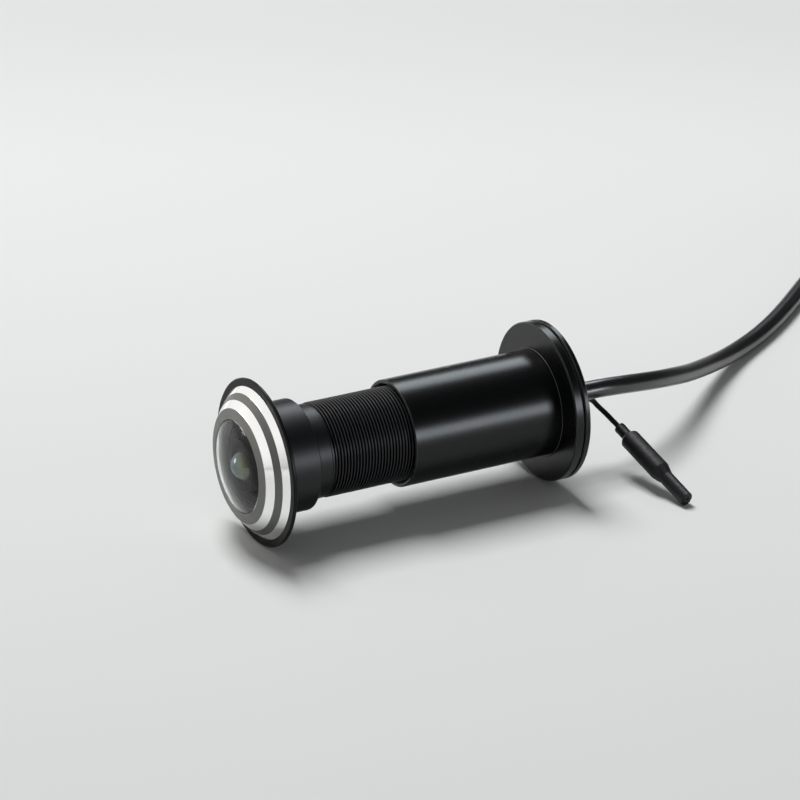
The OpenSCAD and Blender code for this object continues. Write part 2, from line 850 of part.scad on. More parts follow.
module antenna_sheath() {
    r = antenna_d / 2;
    tip_r = antenna_tip_d / 2;
    core_r = antenna_core_r + seat_clear;
    inner_r = r - sheath_wall;
    color(rubber) along(antenna_from, antenna_to) rotate_extrude() polygon([
        [core_r, collar_l], [antenna_collar_r, collar_l], [r, body_x], [r, shoulder_x], [tip_r, tip_x],
        [tip_r, antenna_l], [0, antenna_l], [0, antenna_l - sheath_wall],
        [core_r, antenna_l - sheath_wall], [core_r, tube_end_x], [inner_r, tube_end_x],
        [inner_r, tube_x], [core_r, tube_x]
    ]);
}

module antenna_tube() {
    tube_l = tube_end_x - tube_x - 2 * seat_clear;
    color(brass) along(antenna_from, antenna_to) translate([0, 0, tube_x + seat_clear]) difference() {
        cylinder(r = antenna_d / 2 - sheath_wall - seat_clear, h = tube_l);
        translate([0, 0, -over]) cylinder(r = antenna_core_r + seat_clear, h = tube_l + 2 * over);
    }
}

module antenna_rod() {
    color(white_plastic) along(antenna_from, antenna_to) translate([0, 0, collar_l])
        cylinder(r = antenna_core_r, h = antenna_l - sheath_wall - seat_clear - collar_l);
}

front_flange();
outer_trim_ring();
bezel_ring();
inner_trim_ring();
front_glass();
glass_seal();
lens_hood();
lens_tube();
front_lens();
rear_lens();
lens_holder();
ir_cut_filter();
image_sensor();
sensor_board();
sensor_board_screws();
board_link();
main_board();
processor();
flash_memory();
wifi_module();
power_inductor();
antenna_socket();
antenna_plug();
barrel();
tail_plug();
power_connector();
power_leads();
power_cable();
cable_coil();
cable_tail();
coil_strap();
usb_grip();
usb_shell();
usb_tongue();
antenna_coax();
antenna_collar();
antenna_sheath();
antenna_tube();
antenna_rod();
clamp_sleeve();
rear_cap();
cap_grommet();
cap_clip();
swivel_washer();
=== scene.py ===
"""Looks of a peephole door camera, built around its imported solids.

The frame is that of the solids: the barrel's axis is X with the lens towards -X, +Z is up, and the part
lies on its front flange. Sizes are written in millimetres, as on a drawing, and become metres where a
mesh or a curve is made.
"""

import logging
import math
from dataclasses import dataclass, replace
from enum import Enum

import bmesh
import bpy
import numpy as np
from mathutils import Matrix, Vector


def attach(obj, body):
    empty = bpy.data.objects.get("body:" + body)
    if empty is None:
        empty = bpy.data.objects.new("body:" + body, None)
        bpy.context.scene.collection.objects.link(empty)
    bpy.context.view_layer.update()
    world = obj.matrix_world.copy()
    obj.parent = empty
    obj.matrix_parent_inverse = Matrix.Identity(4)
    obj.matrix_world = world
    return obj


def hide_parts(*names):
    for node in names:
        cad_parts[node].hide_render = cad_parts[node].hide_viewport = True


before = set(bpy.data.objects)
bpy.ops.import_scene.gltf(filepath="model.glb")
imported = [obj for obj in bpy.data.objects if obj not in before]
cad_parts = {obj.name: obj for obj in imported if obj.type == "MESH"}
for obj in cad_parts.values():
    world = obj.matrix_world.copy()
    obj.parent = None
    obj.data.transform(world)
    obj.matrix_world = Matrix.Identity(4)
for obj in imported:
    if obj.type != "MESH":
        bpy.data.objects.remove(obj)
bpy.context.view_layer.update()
LOG = logging.getLogger("peephole_camera")
MM = 0.001
FLOOR_Z = -12.5
SHARP_ANGLE = math.radians(35)
POLE_GAP = 1e-7
# Points of a rounded edge, the largest share of a side that it takes, and where its flat neighbours begin
EDGE_POINTS = 6
EDGE_SHARE = 0.38
EDGE_KEEP = 1.3
# Rounding of a chamfered rim, in millimetres
RIM_EDGE = 0.06
# Steps of a wire's quarter round, points in one turn of a thread, and what is left of its ridge at both ends
WIRE_STEPS = 6
THREAD_POINTS = 96
RIDGE_END = 0.02

Range = tuple[float, float]
Point = tuple[float, float, float]
Colour = tuple[float, float, float, float]
Tree = bpy.types.NodeTree
Socket = bpy.types.NodeSocket
Mesh = bpy.types.Mesh


class Body(Enum):
    """Bodies of the part that a piece can ride on."""

    CAMERA = "camera"
    REAR_CAP = "rear_cap"
    SLEEVE = "sleeve"


class Slot(Enum):
    """Material slots of the part's record."""

    BLACK_ANODISED = "black_anodised"
    BRIGHT_TRIM = "bright_trim"
    GREY_ANODISED = "grey_anodised"
    LENS_GLASS = "lens_glass"
    FILTER_GLASS = "filter_glass"
    BLACK_RUBBER = "black_rubber"
    BLACK_PLASTIC = "black_plastic"
    WHITE_PLASTIC = "white_plastic"
    RED_PLASTIC = "red_plastic"
    CHIP_EPOXY = "chip_epoxy"
    CIRCUIT_BOARD = "circuit_board"
    BRIGHT_STEEL = "bright_steel"
    GILT_BRASS = "gilt_brass"
    CABLE_JACKET = "cable_jacket"
    COAX_JACKET = "coax_jacket"
    SHRINK_TUBE = "shrink_tube"
    STRAP_FABRIC = "strap_fabric"


def linear(hex_colour: str, gain: float = 1.0) -> Colour:
    """Turn an sRGB hex colour into a shader's linear colour.

    Args:
        hex_colour: Colour as #rrggbb.
        gain: Factor on its brightness.

    Returns:
        Linear red, green, blue and an alpha of 1.
    """
    parts = [int(hex_colour[i : i + 2], 16) / 255 for i in (1, 3, 5)]
    red, green, blue = (
        gain * (c / 12.92 if c <= 0.04045 else ((c + 0.055) / 1.055) ** 2.4) for c in parts
    )
    return red, green, blue, 1.0


def add_node(tree: Tree, kind: str, inputs: dict | None = None, **settings: object) -> bpy.types.Node:
    """Add one node to a tree.

    Args:
        tree: Shader or geometry tree.
        kind: Blender's name of the node's class.
        inputs: Values or output sockets for the node's inputs, by name or number.
        **settings: The node's own properties.

    Returns:
        The new node.
    """
    node = tree.nodes.new(kind)
    for key, value in settings.items():
        setattr(node, key, value)
    for key, value in (inputs or {}).items():
        if isinstance(value, Socket):
            tree.links.new(value, node.inputs[key])
        else:
            node.inputs[key].default_value = value
    return node


def blend(tree: Tree, share: Socket, first: object, second: object) -> Socket:
    """Mix two colours in a shader tree.

    Args:
        tree: The tree.
        share: Share of the second colour.
        first: Colour or socket.
        second: Colour or socket.

    Returns:
        The mixed colour.
    """
    return add_node(tree, "ShaderNodeMix", {0: share, 6: first, 7: second}, data_type="RGBA").outputs[2]


def ramp(tree: Tree, value: Socket, source: Range, result: Range) -> Socket:
    """Ease a value from one range to another.

    Args:
        tree: The tree.
        value: The value.
        source: Its range.
        result: Range of the result.

    Returns:
        The result.
    """
    limits = dict(zip(("From Min", "From Max", "To Min", "To Max"), (*source, *result)))
    eased = add_node(tree, "ShaderNodeMapRange", {"Value": value, **limits}, interpolation_type="SMOOTHSTEP")
    return eased.outputs["Result"]


def calculate(tree: Tree, operation: str, *values: object) -> Socket:
    """Calculate with values or sockets in a tree, and give the result."""
    return add_node(tree, "ShaderNodeMath", dict(enumerate(values)), operation=operation).outputs[0]


def times(tree: Tree, first: Socket, second: object) -> Socket:
    """Multiply two values in a tree."""
    return calculate(tree, "MULTIPLY", first, second)


def coordinates(tree: Tree, kind: str = "Object") -> Socket:
    """Give a kind of the coordinates that go with a piece."""
    return add_node(tree, "ShaderNodeTexCoord").outputs[kind]


@dataclass(frozen=True)
class Finish:
    """A moulded or cast surface: an even colour that drifts a little, under a fine grain.

    Attributes:
        name: Name of the material.
        slot: The record's slot that it stands for; not used.
        colour: sRGB hex colour.
        roughness: Mean roughness.
        metallic: 1 for bare metal.
        specular: Specular level of the surface.
        drift: Share by which brightness and roughness drift.
        drift_mm: Size of the drift's patches.
        grain_mm: Size of the grain.
        grain_depth: Depth of the grain, in millimetres.
    """

    name: str
    slot: Slot
    colour: str
    roughness: float
    metallic: float = 0.0
    specular: float = 0.5
    drift: float = 0.1
    drift_mm: float = 7.0
    grain_mm: float = 0.3
    grain_depth: float = 0.004

    def noise(self, tree: Tree, size_mm: float, detail: float = 3.0) -> Socket:
        """Give a noise over the piece's own coordinates.

        Args:
            tree: The material's tree.
            size_mm: Size of the noise's patches.
            detail: Number of finer layers.

        Returns:
            The noise's value, about 0.5.
        """
        where = coordinates(tree)
        scale = 1 / (size_mm * MM)
        found = add_node(tree, "ShaderNodeTexNoise", {"Vector": where, "Scale": scale, "Detail": detail})
        return found.outputs["Fac"]

    def tint(self, tree: Tree) -> Socket:
        """Give the colour, which drifts over the piece."""
        low, high = linear(self.colour, 1 - self.drift), linear(self.colour, 1 + self.drift)
        return blend(tree, self.noise(tree, self.drift_mm), low, high)

    def gloss(self, tree: Tree) -> Socket:
        """Give the roughness, which drifts over the piece."""
        limits = self.roughness * (1 - self.drift), self.roughness * (1 + self.drift)
        return ramp(tree, self.noise(tree, self.drift_mm / 3), (0.0, 1.0), limits)

    def relief(self, tree: Tree) -> Socket:
        """Give the normal, with the grain in it."""
        values = {"Height": self.noise(tree, self.grain_mm, 2.0), "Distance": self.grain_depth * MM}
        return add_node(tree, "ShaderNodeBump", values).outputs[0]

    def constants(self) -> dict[str, object]:
        """Give the shader's settings that are the same all over."""
        return {"Metallic": self.metallic, "Specular IOR Level": self.specular}

    def material(self) -> bpy.types.Material:
        """Give the material, made at the first call."""
        found = bpy.data.materials.get(self.name)
        if found:
            return found
        made = bpy.data.materials.new(self.name)
        made.use_nodes = True
        tree = made.node_tree
        shader = tree.nodes["Principled BSDF"]
        for name, value in self.constants().items():
            shader.inputs[name].default_value = value
        for name, give in (("Base Color", self.tint), ("Roughness", self.gloss), ("Normal", self.relief)):
            tree.links.new(give(tree), shader.inputs[name])
        return made


@dataclass(frozen=True)
class TurnedMetal(Finish):
    """Metal from a lathe: faint rings along the cut, and lighter edges: rubbed metal, and a painted
    highlight.

    Attributes:
        feed_mm: Spacing of the tool's rings.
        feed_depth: Depth of the rings, in millimetres.
        worn_and_highlight: sRGB hex colour of an edge, rubbed and under a painted highlight.
        wear_and_highlight: Share of that lighter colour on an edge.
        patch_mm: Size of the patches of lighter edge.
    """

    feed_mm: float = 0.3
    feed_depth: float = 0.00012
    worn_and_highlight: str = "#8a8d90"
    wear_and_highlight: float = 0.6
    patch_mm: float = 1.5

    def rings(self, tree: Tree) -> Socket:
        """Give the tool's rings, which follow the outline's length in the UV map."""
        uv = coordinates(tree, "UV")
        along = add_node(tree, "ShaderNodeSeparateXYZ", {0: uv}).outputs["Y"]
        sizes = {"W": along, "Scale": 1 / self.feed_mm, "Detail": 2.0}
        return add_node(tree, "ShaderNodeTexNoise", sizes, noise_dimensions="1D").outputs["Fac"]

    def tint(self, tree: Tree) -> Socket:
        """Give the colour, lighter in patches along edges: rubbed metal and a painted highlight."""
        # Lighter colour in patches along edges: rubbed metal, and a painted highlight.
        edge = add_node(tree, "ShaderNodeAttribute", attribute_name="wear_and_highlight").outputs["Fac"]
        share = times(tree, times(tree, edge, self.noise(tree, self.patch_mm)), 2 * self.wear_and_highlight)
        return blend(tree, share, super().tint(tree), linear(self.worn_and_highlight))

    def relief(self, tree: Tree) -> Socket:
        """Give the normal, with the tool's rings over the grain."""
        values = {"Height": self.rings(tree), "Distance": self.feed_depth * MM}
        return add_node(tree, "ShaderNodeBump", {**values, "Normal": super().relief(tree)}).outputs[0]


@dataclass(frozen=True)
class CutThread(Finish):
    """Thread in dyed metal: dark flanks, and a lighter crest: rubbed metal, and a painted highlight along it.

    Attributes:
        crest_r: Distance from the X axis where the crest is fully lighter, in millimetres.
        blend_mm: Height over which the flank turns into the lighter crest.
        worn_and_highlight: sRGB hex colour of the crest, rubbed and under a painted highlight.
    """

    crest_r: float = 7.07
    blend_mm: float = 0.06
    worn_and_highlight: str = "#46484b"

    def tint(self, tree: Tree) -> Socket:
        """Give the colour, lighter along the crest: rubbed metal and a painted highlight."""
        where = coordinates(tree)
        radial = add_node(tree, "ShaderNodeVectorMath", {0: where, 1: (0, 1, 1)}, operation="MULTIPLY")
        reach = add_node(tree, "ShaderNodeVectorMath", {0: radial.outputs[0]}, operation="LENGTH")
        limits = (self.crest_r - self.blend_mm) * MM, self.crest_r * MM
        # Painted highlight and wear: lighter towards the crest.
        share = ramp(tree, reach.outputs["Value"], limits, (0.0, 1.0))
        return blend(tree, share, super().tint(tree), linear(self.worn_and_highlight))


@dataclass(frozen=True)
class ClearGlass(Finish):
    """Polished glass under a thin coating.

    Attributes:
        ior: Refractive index of the glass.
        film_nm: Thickness of the coating.
        film_ior: Refractive index of the coating.
    """

    drift: float = 0.0
    grain_depth: float = 0.0
    ior: float = 1.5
    film_nm: float = 0.0
    film_ior: float = 1.38

    def constants(self) -> dict[str, object]:
        """Give the shader's settings, with the coating."""
        return {
            **super().constants(),
            "Transmission Weight": 1.0,
            "IOR": self.ior,
            "Thin Film Thickness": self.film_nm,
            "Thin Film IOR": self.film_ior,
        }


@dataclass(frozen=True)
class BoardLaminate(Finish):
    """Circuit board: glass laminate under solder resist, with copper runs showing through.

    Attributes:
        track_mm: Spacing of the copper runs.
        track_edge: Distance from a cell's middle where a run begins, as a share of the spacing.
        track_colour: sRGB hex colour over the copper.
    """

    track_mm: float = 0.8
    track_edge: float = 0.42
    track_colour: str = "#1f7a45"

    def tint(self, tree: Tree) -> Socket:
        """Give the resist's colour, lighter over the copper runs."""
        where = coordinates(tree)
        cells = {"Vector": where, "Scale": 1 / (self.track_mm * MM)}
        runs = add_node(tree, "ShaderNodeTexVoronoi", cells, distance="CHEBYCHEV").outputs["Distance"]
        step = calculate(tree, "GREATER_THAN", runs, self.track_edge)
        return blend(tree, step, super().tint(tree), linear(self.track_colour))


@dataclass(frozen=True)
class WovenTape(Finish):
    """Narrow tape of woven nylon, with its threads over and under each other.

    Attributes:
        thread_mm: Spacing of the threads.
        thread_depth: Height of a thread over its neighbours, in millimetres.
    """

    thread_mm: float = 0.5
    thread_depth: float = 0.12

    def relief(self, tree: Tree) -> Socket:
        """Give the normal of a plain weave, which follows the UV map in millimetres."""
        uv = coordinates(tree, "UV")
        split = add_node(tree, "ShaderNodeSeparateXYZ", {0: uv}).outputs
        angles = [times(tree, split[axis], math.pi / self.thread_mm) for axis in ("X", "Y")]
        waves = [calculate(tree, "SINE", angle) for angle in angles]
        values = {"Height": times(tree, *waves), "Distance": self.thread_depth * MM}
        return add_node(tree, "ShaderNodeBump", {**values, "Normal": super().relief(tree)}).outputs[0]


@dataclass(frozen=True)
class PaleBoard(Finish):
    """Matt board of the floor, under painted shade that darkens it near and far to the eye, and a painted
    reflection that turns it white far away in a mirror.

    Attributes:
        away: Direction on the floor away from the camera.
        near: Distances in metres between which the painted shade near the eye fades out.
        near_shaded_share: Share of its brightness nearest to the eye, under the painted shade.
        far: Distances in metres between which painted shade darkens it again.
        far_shaded_share: Share of its brightness that is left far away, under the painted shade.
        painted_reflection_fade: Distances in metres between which a painted reflection turns it white in a
            mirror.
    """

    away: Point = (0.475, 0.88, 0.0)
    near: Range = (-0.12, 0.16)
    near_shaded_share: float = 0.94
    far: Range = (0.15, 0.25)
    far_shaded_share: float = 0.9
    painted_reflection_fade: Range = (0.04, 0.2)

    def tint(self, tree: Tree) -> Socket:
        """Give the colour: painted shade by distance for the eye, and a painted white reflection for mirrors.
        """
        where = coordinates(tree)
        depth = add_node(tree, "ShaderNodeVectorMath", {0: where, 1: self.away}, operation="DOT_PRODUCT")
        reach = add_node(tree, "ShaderNodeVectorMath", {0: where}, operation="LENGTH")
        ray = add_node(tree, "ShaderNodeLightPath").outputs
        # Painted shade: darker towards the eye and far away, for camera rays only.
        near = ramp(tree, depth.outputs["Value"], self.near, (self.near_shaded_share, 1.0))
        far = ramp(tree, depth.outputs["Value"], self.far, (1.0, self.far_shaded_share))
        plain = super().tint(tree)
        shaded = blend(tree, times(tree, near, far), linear("#000000"), plain)
        seen = blend(tree, ray["Is Camera Ray"], plain, shaded)
        # Painted reflection: far from the part, glossy rays see the floor white.
        mirrored = ramp(tree, reach.outputs["Value"], self.painted_reflection_fade, (0.0, 1.0))
        return blend(tree, times(tree, mirrored, ray["Is Glossy Ray"]), seen, linear("#ffffff"))


# Turned aluminium, dyed black and sealed: a dark satin that mirrors a lamp as a soft streak
# Its outer edges turn lighter in patches: rubbed metal, and a painted highlight.
BLACK_ANODISED = TurnedMetal(
    "black_anodised_aluminium", Slot.BLACK_ANODISED, "#0a0b0c", 0.27, specular=0.25, drift=0.03,
    grain_depth=0.0003, wear_and_highlight=0.3,
)
# The same metal from a coarser cut, for the barrel: duller, with wider highlights
BLACK_BARREL = replace(BLACK_ANODISED, name="black_anodised_barrel", roughness=0.4, specular=0.3, wear_and_highlight=0.1)
# The same metal on the front flange, under a deeper dye that mirrors less
BLACK_FLANGE = replace(BLACK_ANODISED, name="black_anodised_flange", roughness=0.33, specular=0.1, wear_and_highlight=0.12)
# The same metal where a thread is cut into it: black flanks under thin grey crests, partly rubbed and partly
# a painted highlight
BLACK_THREAD = CutThread(
    "black_anodised_thread", Slot.BLACK_ANODISED, "#060607", 0.36, specular=0.12, drift=0.05, grain_depth=0.0
)
# Diamond-turned aluminium, clear anodised: near white, a soft mirror of the room
# Its outer edges turn white in patches: rubbed metal, and a painted highlight.
BRIGHT_TRIM = TurnedMetal(
    "bright_turned_aluminium", Slot.BRIGHT_TRIM, "#f6f6f3", 0.14, metallic=1.0, drift=0.03,
    grain_depth=0.0002, worn_and_highlight="#ffffff",
)
# Bead-blasted aluminium, anodised grey: matt, with a fine sparkle of its grit
# Its outer edges turn lighter in patches: rubbed metal, and a painted highlight.
GREY_ANODISED = TurnedMetal(
    "grey_anodised_aluminium", Slot.GREY_ANODISED, "#696966", 0.46, metallic=0.75, grain_mm=0.2,
    grain_depth=0.006, worn_and_highlight="#b9b9b5", wear_and_highlight=0.35,
)
# Polished glass under a coating that takes most of its shine: clear, but a white mirror at its edge
LENS_GLASS = ClearGlass("coated_dome_glass", Slot.LENS_GLASS, "#ffffff", 0.0, ior=1.2)
# Dense crown glass under a hard coating: olive where light comes through, with mirrors in green and amber
LENS_ELEMENT = ClearGlass(
    "coated_crown_glass", Slot.LENS_GLASS, "#4d4838", 0.0, ior=1.6, film_nm=230.0, film_ior=1.75
)
# Absorbing glass that passes visible light: clear with a cyan cast
FILTER_GLASS = ClearGlass(
    "infrared_filter_glass", Slot.FILTER_GLASS, "#a8dfe6", 0.02, film_nm=300.0, film_ior=2.0
)
# Moulded nitrile rubber: dull black with a dusty bloom
BLACK_RUBBER = Finish(
    "moulded_black_rubber", Slot.BLACK_RUBBER, "#161617", 0.62, specular=0.35, grain_depth=0.006
)
# Moulded soft vinyl of a plug: black, dull, with a leathery grain
PLUG_VINYL = Finish(
    "moulded_black_vinyl", Slot.BLACK_PLASTIC, "#151516", 0.58, specular=0.4, grain_mm=0.5, grain_depth=0.008
)
# Moulded nylon under matt optical black, which swallows stray light
OPTICAL_BLACK = Finish("matt_optical_black", Slot.BLACK_PLASTIC, "#060606", 0.75, specular=0.15)
# Moulded polyester: warm white
WHITE_PLASTIC = Finish("moulded_white_polyester", Slot.WHITE_PLASTIC, "#dcd8cc", 0.42, drift=0.04)
# Drawn insulation on the leads: clear red
RED_PLASTIC = Finish("drawn_red_insulation", Slot.RED_PLASTIC, "#a81d1a", 0.4, drift=0.05)
# Epoxy moulding compound: charcoal with a fine sandy grain
CHIP_EPOXY = Finish("chip_moulding_epoxy", Slot.CHIP_EPOXY, "#1d1d1f", 0.58, grain_mm=0.15)
# Glass laminate under green solder resist
CIRCUIT_BOARD = BoardLaminate("green_circuit_laminate", Slot.CIRCUIT_BOARD, "#0c4a28", 0.38)
# Stamped tinned steel: bright with a soft mill grain
BRIGHT_STEEL = Finish(
    "stamped_bright_steel", Slot.BRIGHT_STEEL, "#c9cbce", 0.26, metallic=1.0, drift=0.12, drift_mm=3.0,
    grain_depth=0.001,
)
# Brass under a flash of gold
GILT_BRASS = Finish(
    "gilt_brass", Slot.GILT_BRASS, "#d9ab4e", 0.24, metallic=1.0, drift=0.05, grain_depth=0.001
)
# Extruded soft vinyl: black with an oily satin shine along it
CABLE_JACKET = Finish(
    "extruded_black_vinyl", Slot.CABLE_JACKET, "#111113", 0.3, specular=0.8, drift_mm=4.0, grain_mm=0.7,
    grain_depth=0.01,
)
# Extruded fluoropolymer: thin, black and a little glossier
COAX_JACKET = Finish("extruded_black_fluoropolymer", Slot.COAX_JACKET, "#17171b", 0.36, grain_depth=0.003)
# Heat-shrunk polyolefin: violet black, dull, with shallow puckers where it drew in
SHRINK_TUBE = Finish(
    "heat_shrunk_polyolefin", Slot.SHRINK_TUBE, "#100f14", 0.5, specular=0.3, grain_mm=0.9, grain_depth=0.05
)
# Woven nylon tape with a brushed pile
STRAP_FABRIC = WovenTape(
    "woven_nylon_tape", Slot.STRAP_FABRIC, "#1a1a1c", 0.85, specular=0.2, drift=0.2, drift_mm=1.2
)
# Matt board of the floor: pale, with wide faint patches
FLOOR_BOARD = PaleBoard(
    "pale_matt_board", Slot.WHITE_PLASTIC, "#dee0df", 0.75, specular=0.1, drift=0.012, drift_mm=90.0,
    grain_depth=0.0,
)


def close_mesh(work: bmesh.types.BMesh, name: str) -> Mesh:
    """Turn a worked shape into a mesh that faces outwards, smooth but for a crease at each sharp edge.

    Args:
        work: The shape, which is freed.
        name: Name of the mesh.

    Returns:
        The mesh.
    """
    bmesh.ops.recalc_face_normals(work, faces=work.faces)
    for face in work.faces:
        face.smooth = True
    for edge in work.edges:
        edge.smooth = edge.is_boundary or edge.calc_face_angle(0.0) < SHARP_ANGLE
    made = bpy.data.meshes.new(name)
    work.to_mesh(made)
    work.free()
    return made


def skin(name: str, rings: np.ndarray, uv: np.ndarray | None = None) -> Mesh:
    """Lay a closed skin through rings of points.

    Args:
        name: Name of the mesh.
        rings: Points in millimetres, the same number for each ring.
        uv: UV of each point, where a pattern follows the surface.

    Returns:
        The mesh, with flat ends.
    """
    work = bmesh.new()
    layer = work.loops.layers.uv.new("UVMap")
    verts = [[work.verts.new(point * MM) for point in ring] for ring in rings]
    sides = len(verts[0])
    for i in range(len(verts) - 1):
        for k in range(sides):
            j = (k + 1) % sides
            spots = ((i, k), (i, j), (i + 1, j), (i + 1, k))
            face = work.faces.new([verts[a][b] for a, b in spots])
            if uv is not None:
                for loop, (a, b) in zip(face.loops, spots):
                    loop[layer].uv = uv[a][b]
    work.faces.new(verts[0])
    work.faces.new(verts[-1])
    return close_mesh(work, name)


@dataclass(frozen=True)
class Turning:
    """A piece turned about an axis, from the outline of its section.

    Attributes:
        corners: Corners of the outline in order, as (x, radius) or (x, radius, rounding).
        segments: Number of faces around the axis.
    """

    corners: tuple[tuple[float, ...], ...]
    segments: int = 192

    def outline(self) -> np.ndarray:
        """Round the corners.

        Returns:
            One row for each point of the outline: x, radius, and the share of its edge's wear and painted
                highlight.
        """
        places = np.array([corner[:2] for corner in self.corners], float)
        after = np.roll(places, -1, axis=0)
        turn = np.sign(np.sum(places[:, 0] * after[:, 1] - places[:, 1] * after[:, 0]))
        rows: list[tuple[float, ...]] = []
        for i, corner in enumerate(self.corners):
            here = places[i]
            if len(corner) < 3:
                rows.append((*here, 0.0))
                continue
            back, ahead = places[i - 1] - here, after[i] - here
            back_l, ahead_l = np.linalg.norm(back), np.linalg.norm(ahead)
            back, ahead = back / back_l, ahead / ahead_l
            half = math.acos(float(np.clip(back @ ahead, -1, 1))) / 2
            reach = min(corner[2] / math.tan(half), EDGE_SHARE * back_l, EDGE_SHARE * ahead_l)
            outside = turn * (ahead[0] * back[1] - ahead[1] * back[0]) > 0
            rows.append((*(here + EDGE_KEEP * reach * back), 0.0))
            # On an outside edge the points carry a share of wear and painted highlight, greatest at the
            # edge's middle.
            for t in np.linspace(0, 1, EDGE_POINTS):
                point = here + reach * ((1 - t) ** 2 * back + t**2 * ahead)
                rows.append((*point, math.sin(math.pi * t) if outside else 0.0))
            rows.append((*(here + EDGE_KEEP * reach * ahead), 0.0))
        return np.array(rows)

    def mesh(self, name: str, place: Matrix | None = None) -> Mesh:
        """Turn the outline.

        Args:
            name: Name of the mesh.
            place: Where the axis goes, in metres; along X through the origin where it is left out.

        Returns:
            A closed mesh, with a UV map in millimetres and the share of wear and painted highlight on its
            edges.
        """
        rows = self.outline()
        count, sides = len(rows), self.segments
        angles = np.arange(sides + 1) * 2 * math.pi / sides
        around = np.stack([np.ones(sides), np.cos(angles[:-1]), np.sin(angles[:-1])], axis=1)
        points = rows[:, None, [0, 1, 1]] * around
        ring, side = (grid.ravel() for grid in np.meshgrid(np.arange(count), np.arange(sides), indexing="ij"))
        steps = ((0, 0), (1, 0), (1, 1), (0, 1))
        faces = np.stack([(ring + a) % count * sides + (side + b) % sides for a, b in steps], axis=1)
        lengths = np.linalg.norm(np.roll(rows[:, :2], -1, axis=0) - rows[:, :2], axis=1)
        along = np.concatenate([[0.0], np.cumsum(lengths)])
        across = angles * rows[:, 1].max()
        uv = np.stack([np.stack([across[side + b], along[ring + a]], axis=1) for a, b in steps], axis=1)
        drawn = bpy.data.meshes.new(name)
        drawn.from_pydata((points.reshape(-1, 3) * MM).tolist(), [], faces.tolist())
        drawn.uv_layers.new(name="UVMap").data.foreach_set("uv", uv.astype(np.float32).ravel())
        # Each point's share of edge wear and painted highlight, which the turned metal's colour reads.
        wear_and_highlight = drawn.attributes.new("wear_and_highlight", "FLOAT", "POINT")
        wear_and_highlight.data.foreach_set("value", np.repeat(rows[:, 2], sides).astype(np.float32))
        work = bmesh.new()
        work.from_mesh(drawn)
        bpy.data.meshes.remove(drawn)
        poles = [v for v in work.verts if math.hypot(v.co.y, v.co.z) < POLE_GAP]
        bmesh.ops.remove_doubles(work, verts=poles, dist=POLE_GAP)
        bmesh.ops.transform(work, matrix=place or Matrix.Identity(4), verts=work.verts)
        return close_mesh(work, name)


def turned(*corners: tuple[float, ...]) -> Turning:
    """Give a turned piece from the corners of its section, as (x, radius) or (x, radius, rounding)."""
    return Turning(corners)


def chamfered_rim(near_x: float, far_x: float, radius: float, chamfer: float) -> tuple[Point, ...]:
    """List the corners of a disc's rim, which is chamfered on both sides."""
    step = math.copysign(chamfer, far_x - near_x)
    inner = radius - chamfer
    places = ((near_x, inner), (near_x + step, radius), (far_x - step, radius), (far_x, inner))
    return tuple((x, r, RIM_EDGE) for x, r in places)


def round_cap(base_x: float, base_r: float, rise: float, steps: int, outwards: bool) -> tuple[Point, ...]:
    """List the points of a round cap that bulges towards -X.

    Args:
        base_x: Place of its base.
        base_r: Radius of its base.
        rise: Height of its top over the base.
        steps: Number of steps.
        outwards: Whether the points run from the axis to the base.

    Returns:
        Points as (x, radius).
    """
    ball_r = (base_r**2 + rise**2) / (2 * rise)
    angles = [math.asin(base_r / ball_r) * i / steps for i in range(steps + 1)]
    points = [(base_x - rise + ball_r * (1 - math.cos(a)), ball_r * math.sin(a)) for a in angles]
    return tuple(points if outwards else reversed(points))


def add_object(name: str, data: bpy.types.ID) -> bpy.types.Object:
    """Put an object into the scene."""
    made = bpy.data.objects.new(name, data)
    bpy.context.scene.collection.objects.link(made)
    return made


def publish(data: bpy.types.ID, name: str, body: Body, finish: Finish, *stands_for: str) -> bpy.types.Object:
    """Make a piece of a mesh or a curve, give it its finish, hang it on its body and hide the nodes that it
    stands for.

    Args:
        data: Mesh or curve, with its place in it.
        name: Name of the piece.
        body: Body that it rides on.
        finish: Its finish.
        *stands_for: Nodes that it stands for.

    Returns:
        The piece.
    """
    piece = add_object(name, data)
    if not data.materials:
        data.materials.append(finish.material())
    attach(piece, body.value)
    if stands_for:
        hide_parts(*stands_for)
    LOG.info("piece %s on %s", name, body.value)
    return piece


def publish_turnings(body: Body, *pieces: tuple[Turning, str, Finish, str]) -> None:
    """Make turned pieces.

    Args:
        body: Body that they ride on.
        *pieces: Section, name, finish and node of each.
    """
    for section, name, finish, node in pieces:
        publish(section.mesh(name), name, body, finish, node)


def dress_nodes(finish: Finish, *names: str) -> None:
    """Give a finish to nodes that show as they are."""
    for name in names:
        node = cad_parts[name]
        node.data.materials.clear()
        node.data.materials.append(finish.material())
        LOG.info("node %s in %s", name, finish.name)


def new_geometry_tree(name: str, inputs: dict[str, str]) -> tuple[Tree, bpy.types.Node]:
    """Start a tree of geometry nodes.

    Args:
        name: Name of the tree.
        inputs: Kind of each named input after the geometry.

    Returns:
        The tree and its input node.
    """
    tree = bpy.data.node_groups.new(name, "GeometryNodeTree")
    for key, kind in {"Geometry": "Geometry", **inputs, "Material": "Material"}.items():
        tree.interface.new_socket(key, in_out="INPUT", socket_type=f"NodeSocket{kind}")
    tree.interface.new_socket("Geometry", in_out="OUTPUT", socket_type="NodeSocketGeometry")
    return tree, add_node(tree, "NodeGroupInput")


def close_geometry_tree(tree: Tree, result: Socket, material: Socket) -> None:
    """End a tree of geometry nodes in real geometry with its material."""
    real = add_node(tree, "GeometryNodeRealizeInstances", {0: result}).outputs[0]
    dressed = add_node(tree, "GeometryNodeSetMaterial", {"Geometry": real, "Material": material}).outputs[0]
    add_node(tree, "NodeGroupOutput", {0: dressed})


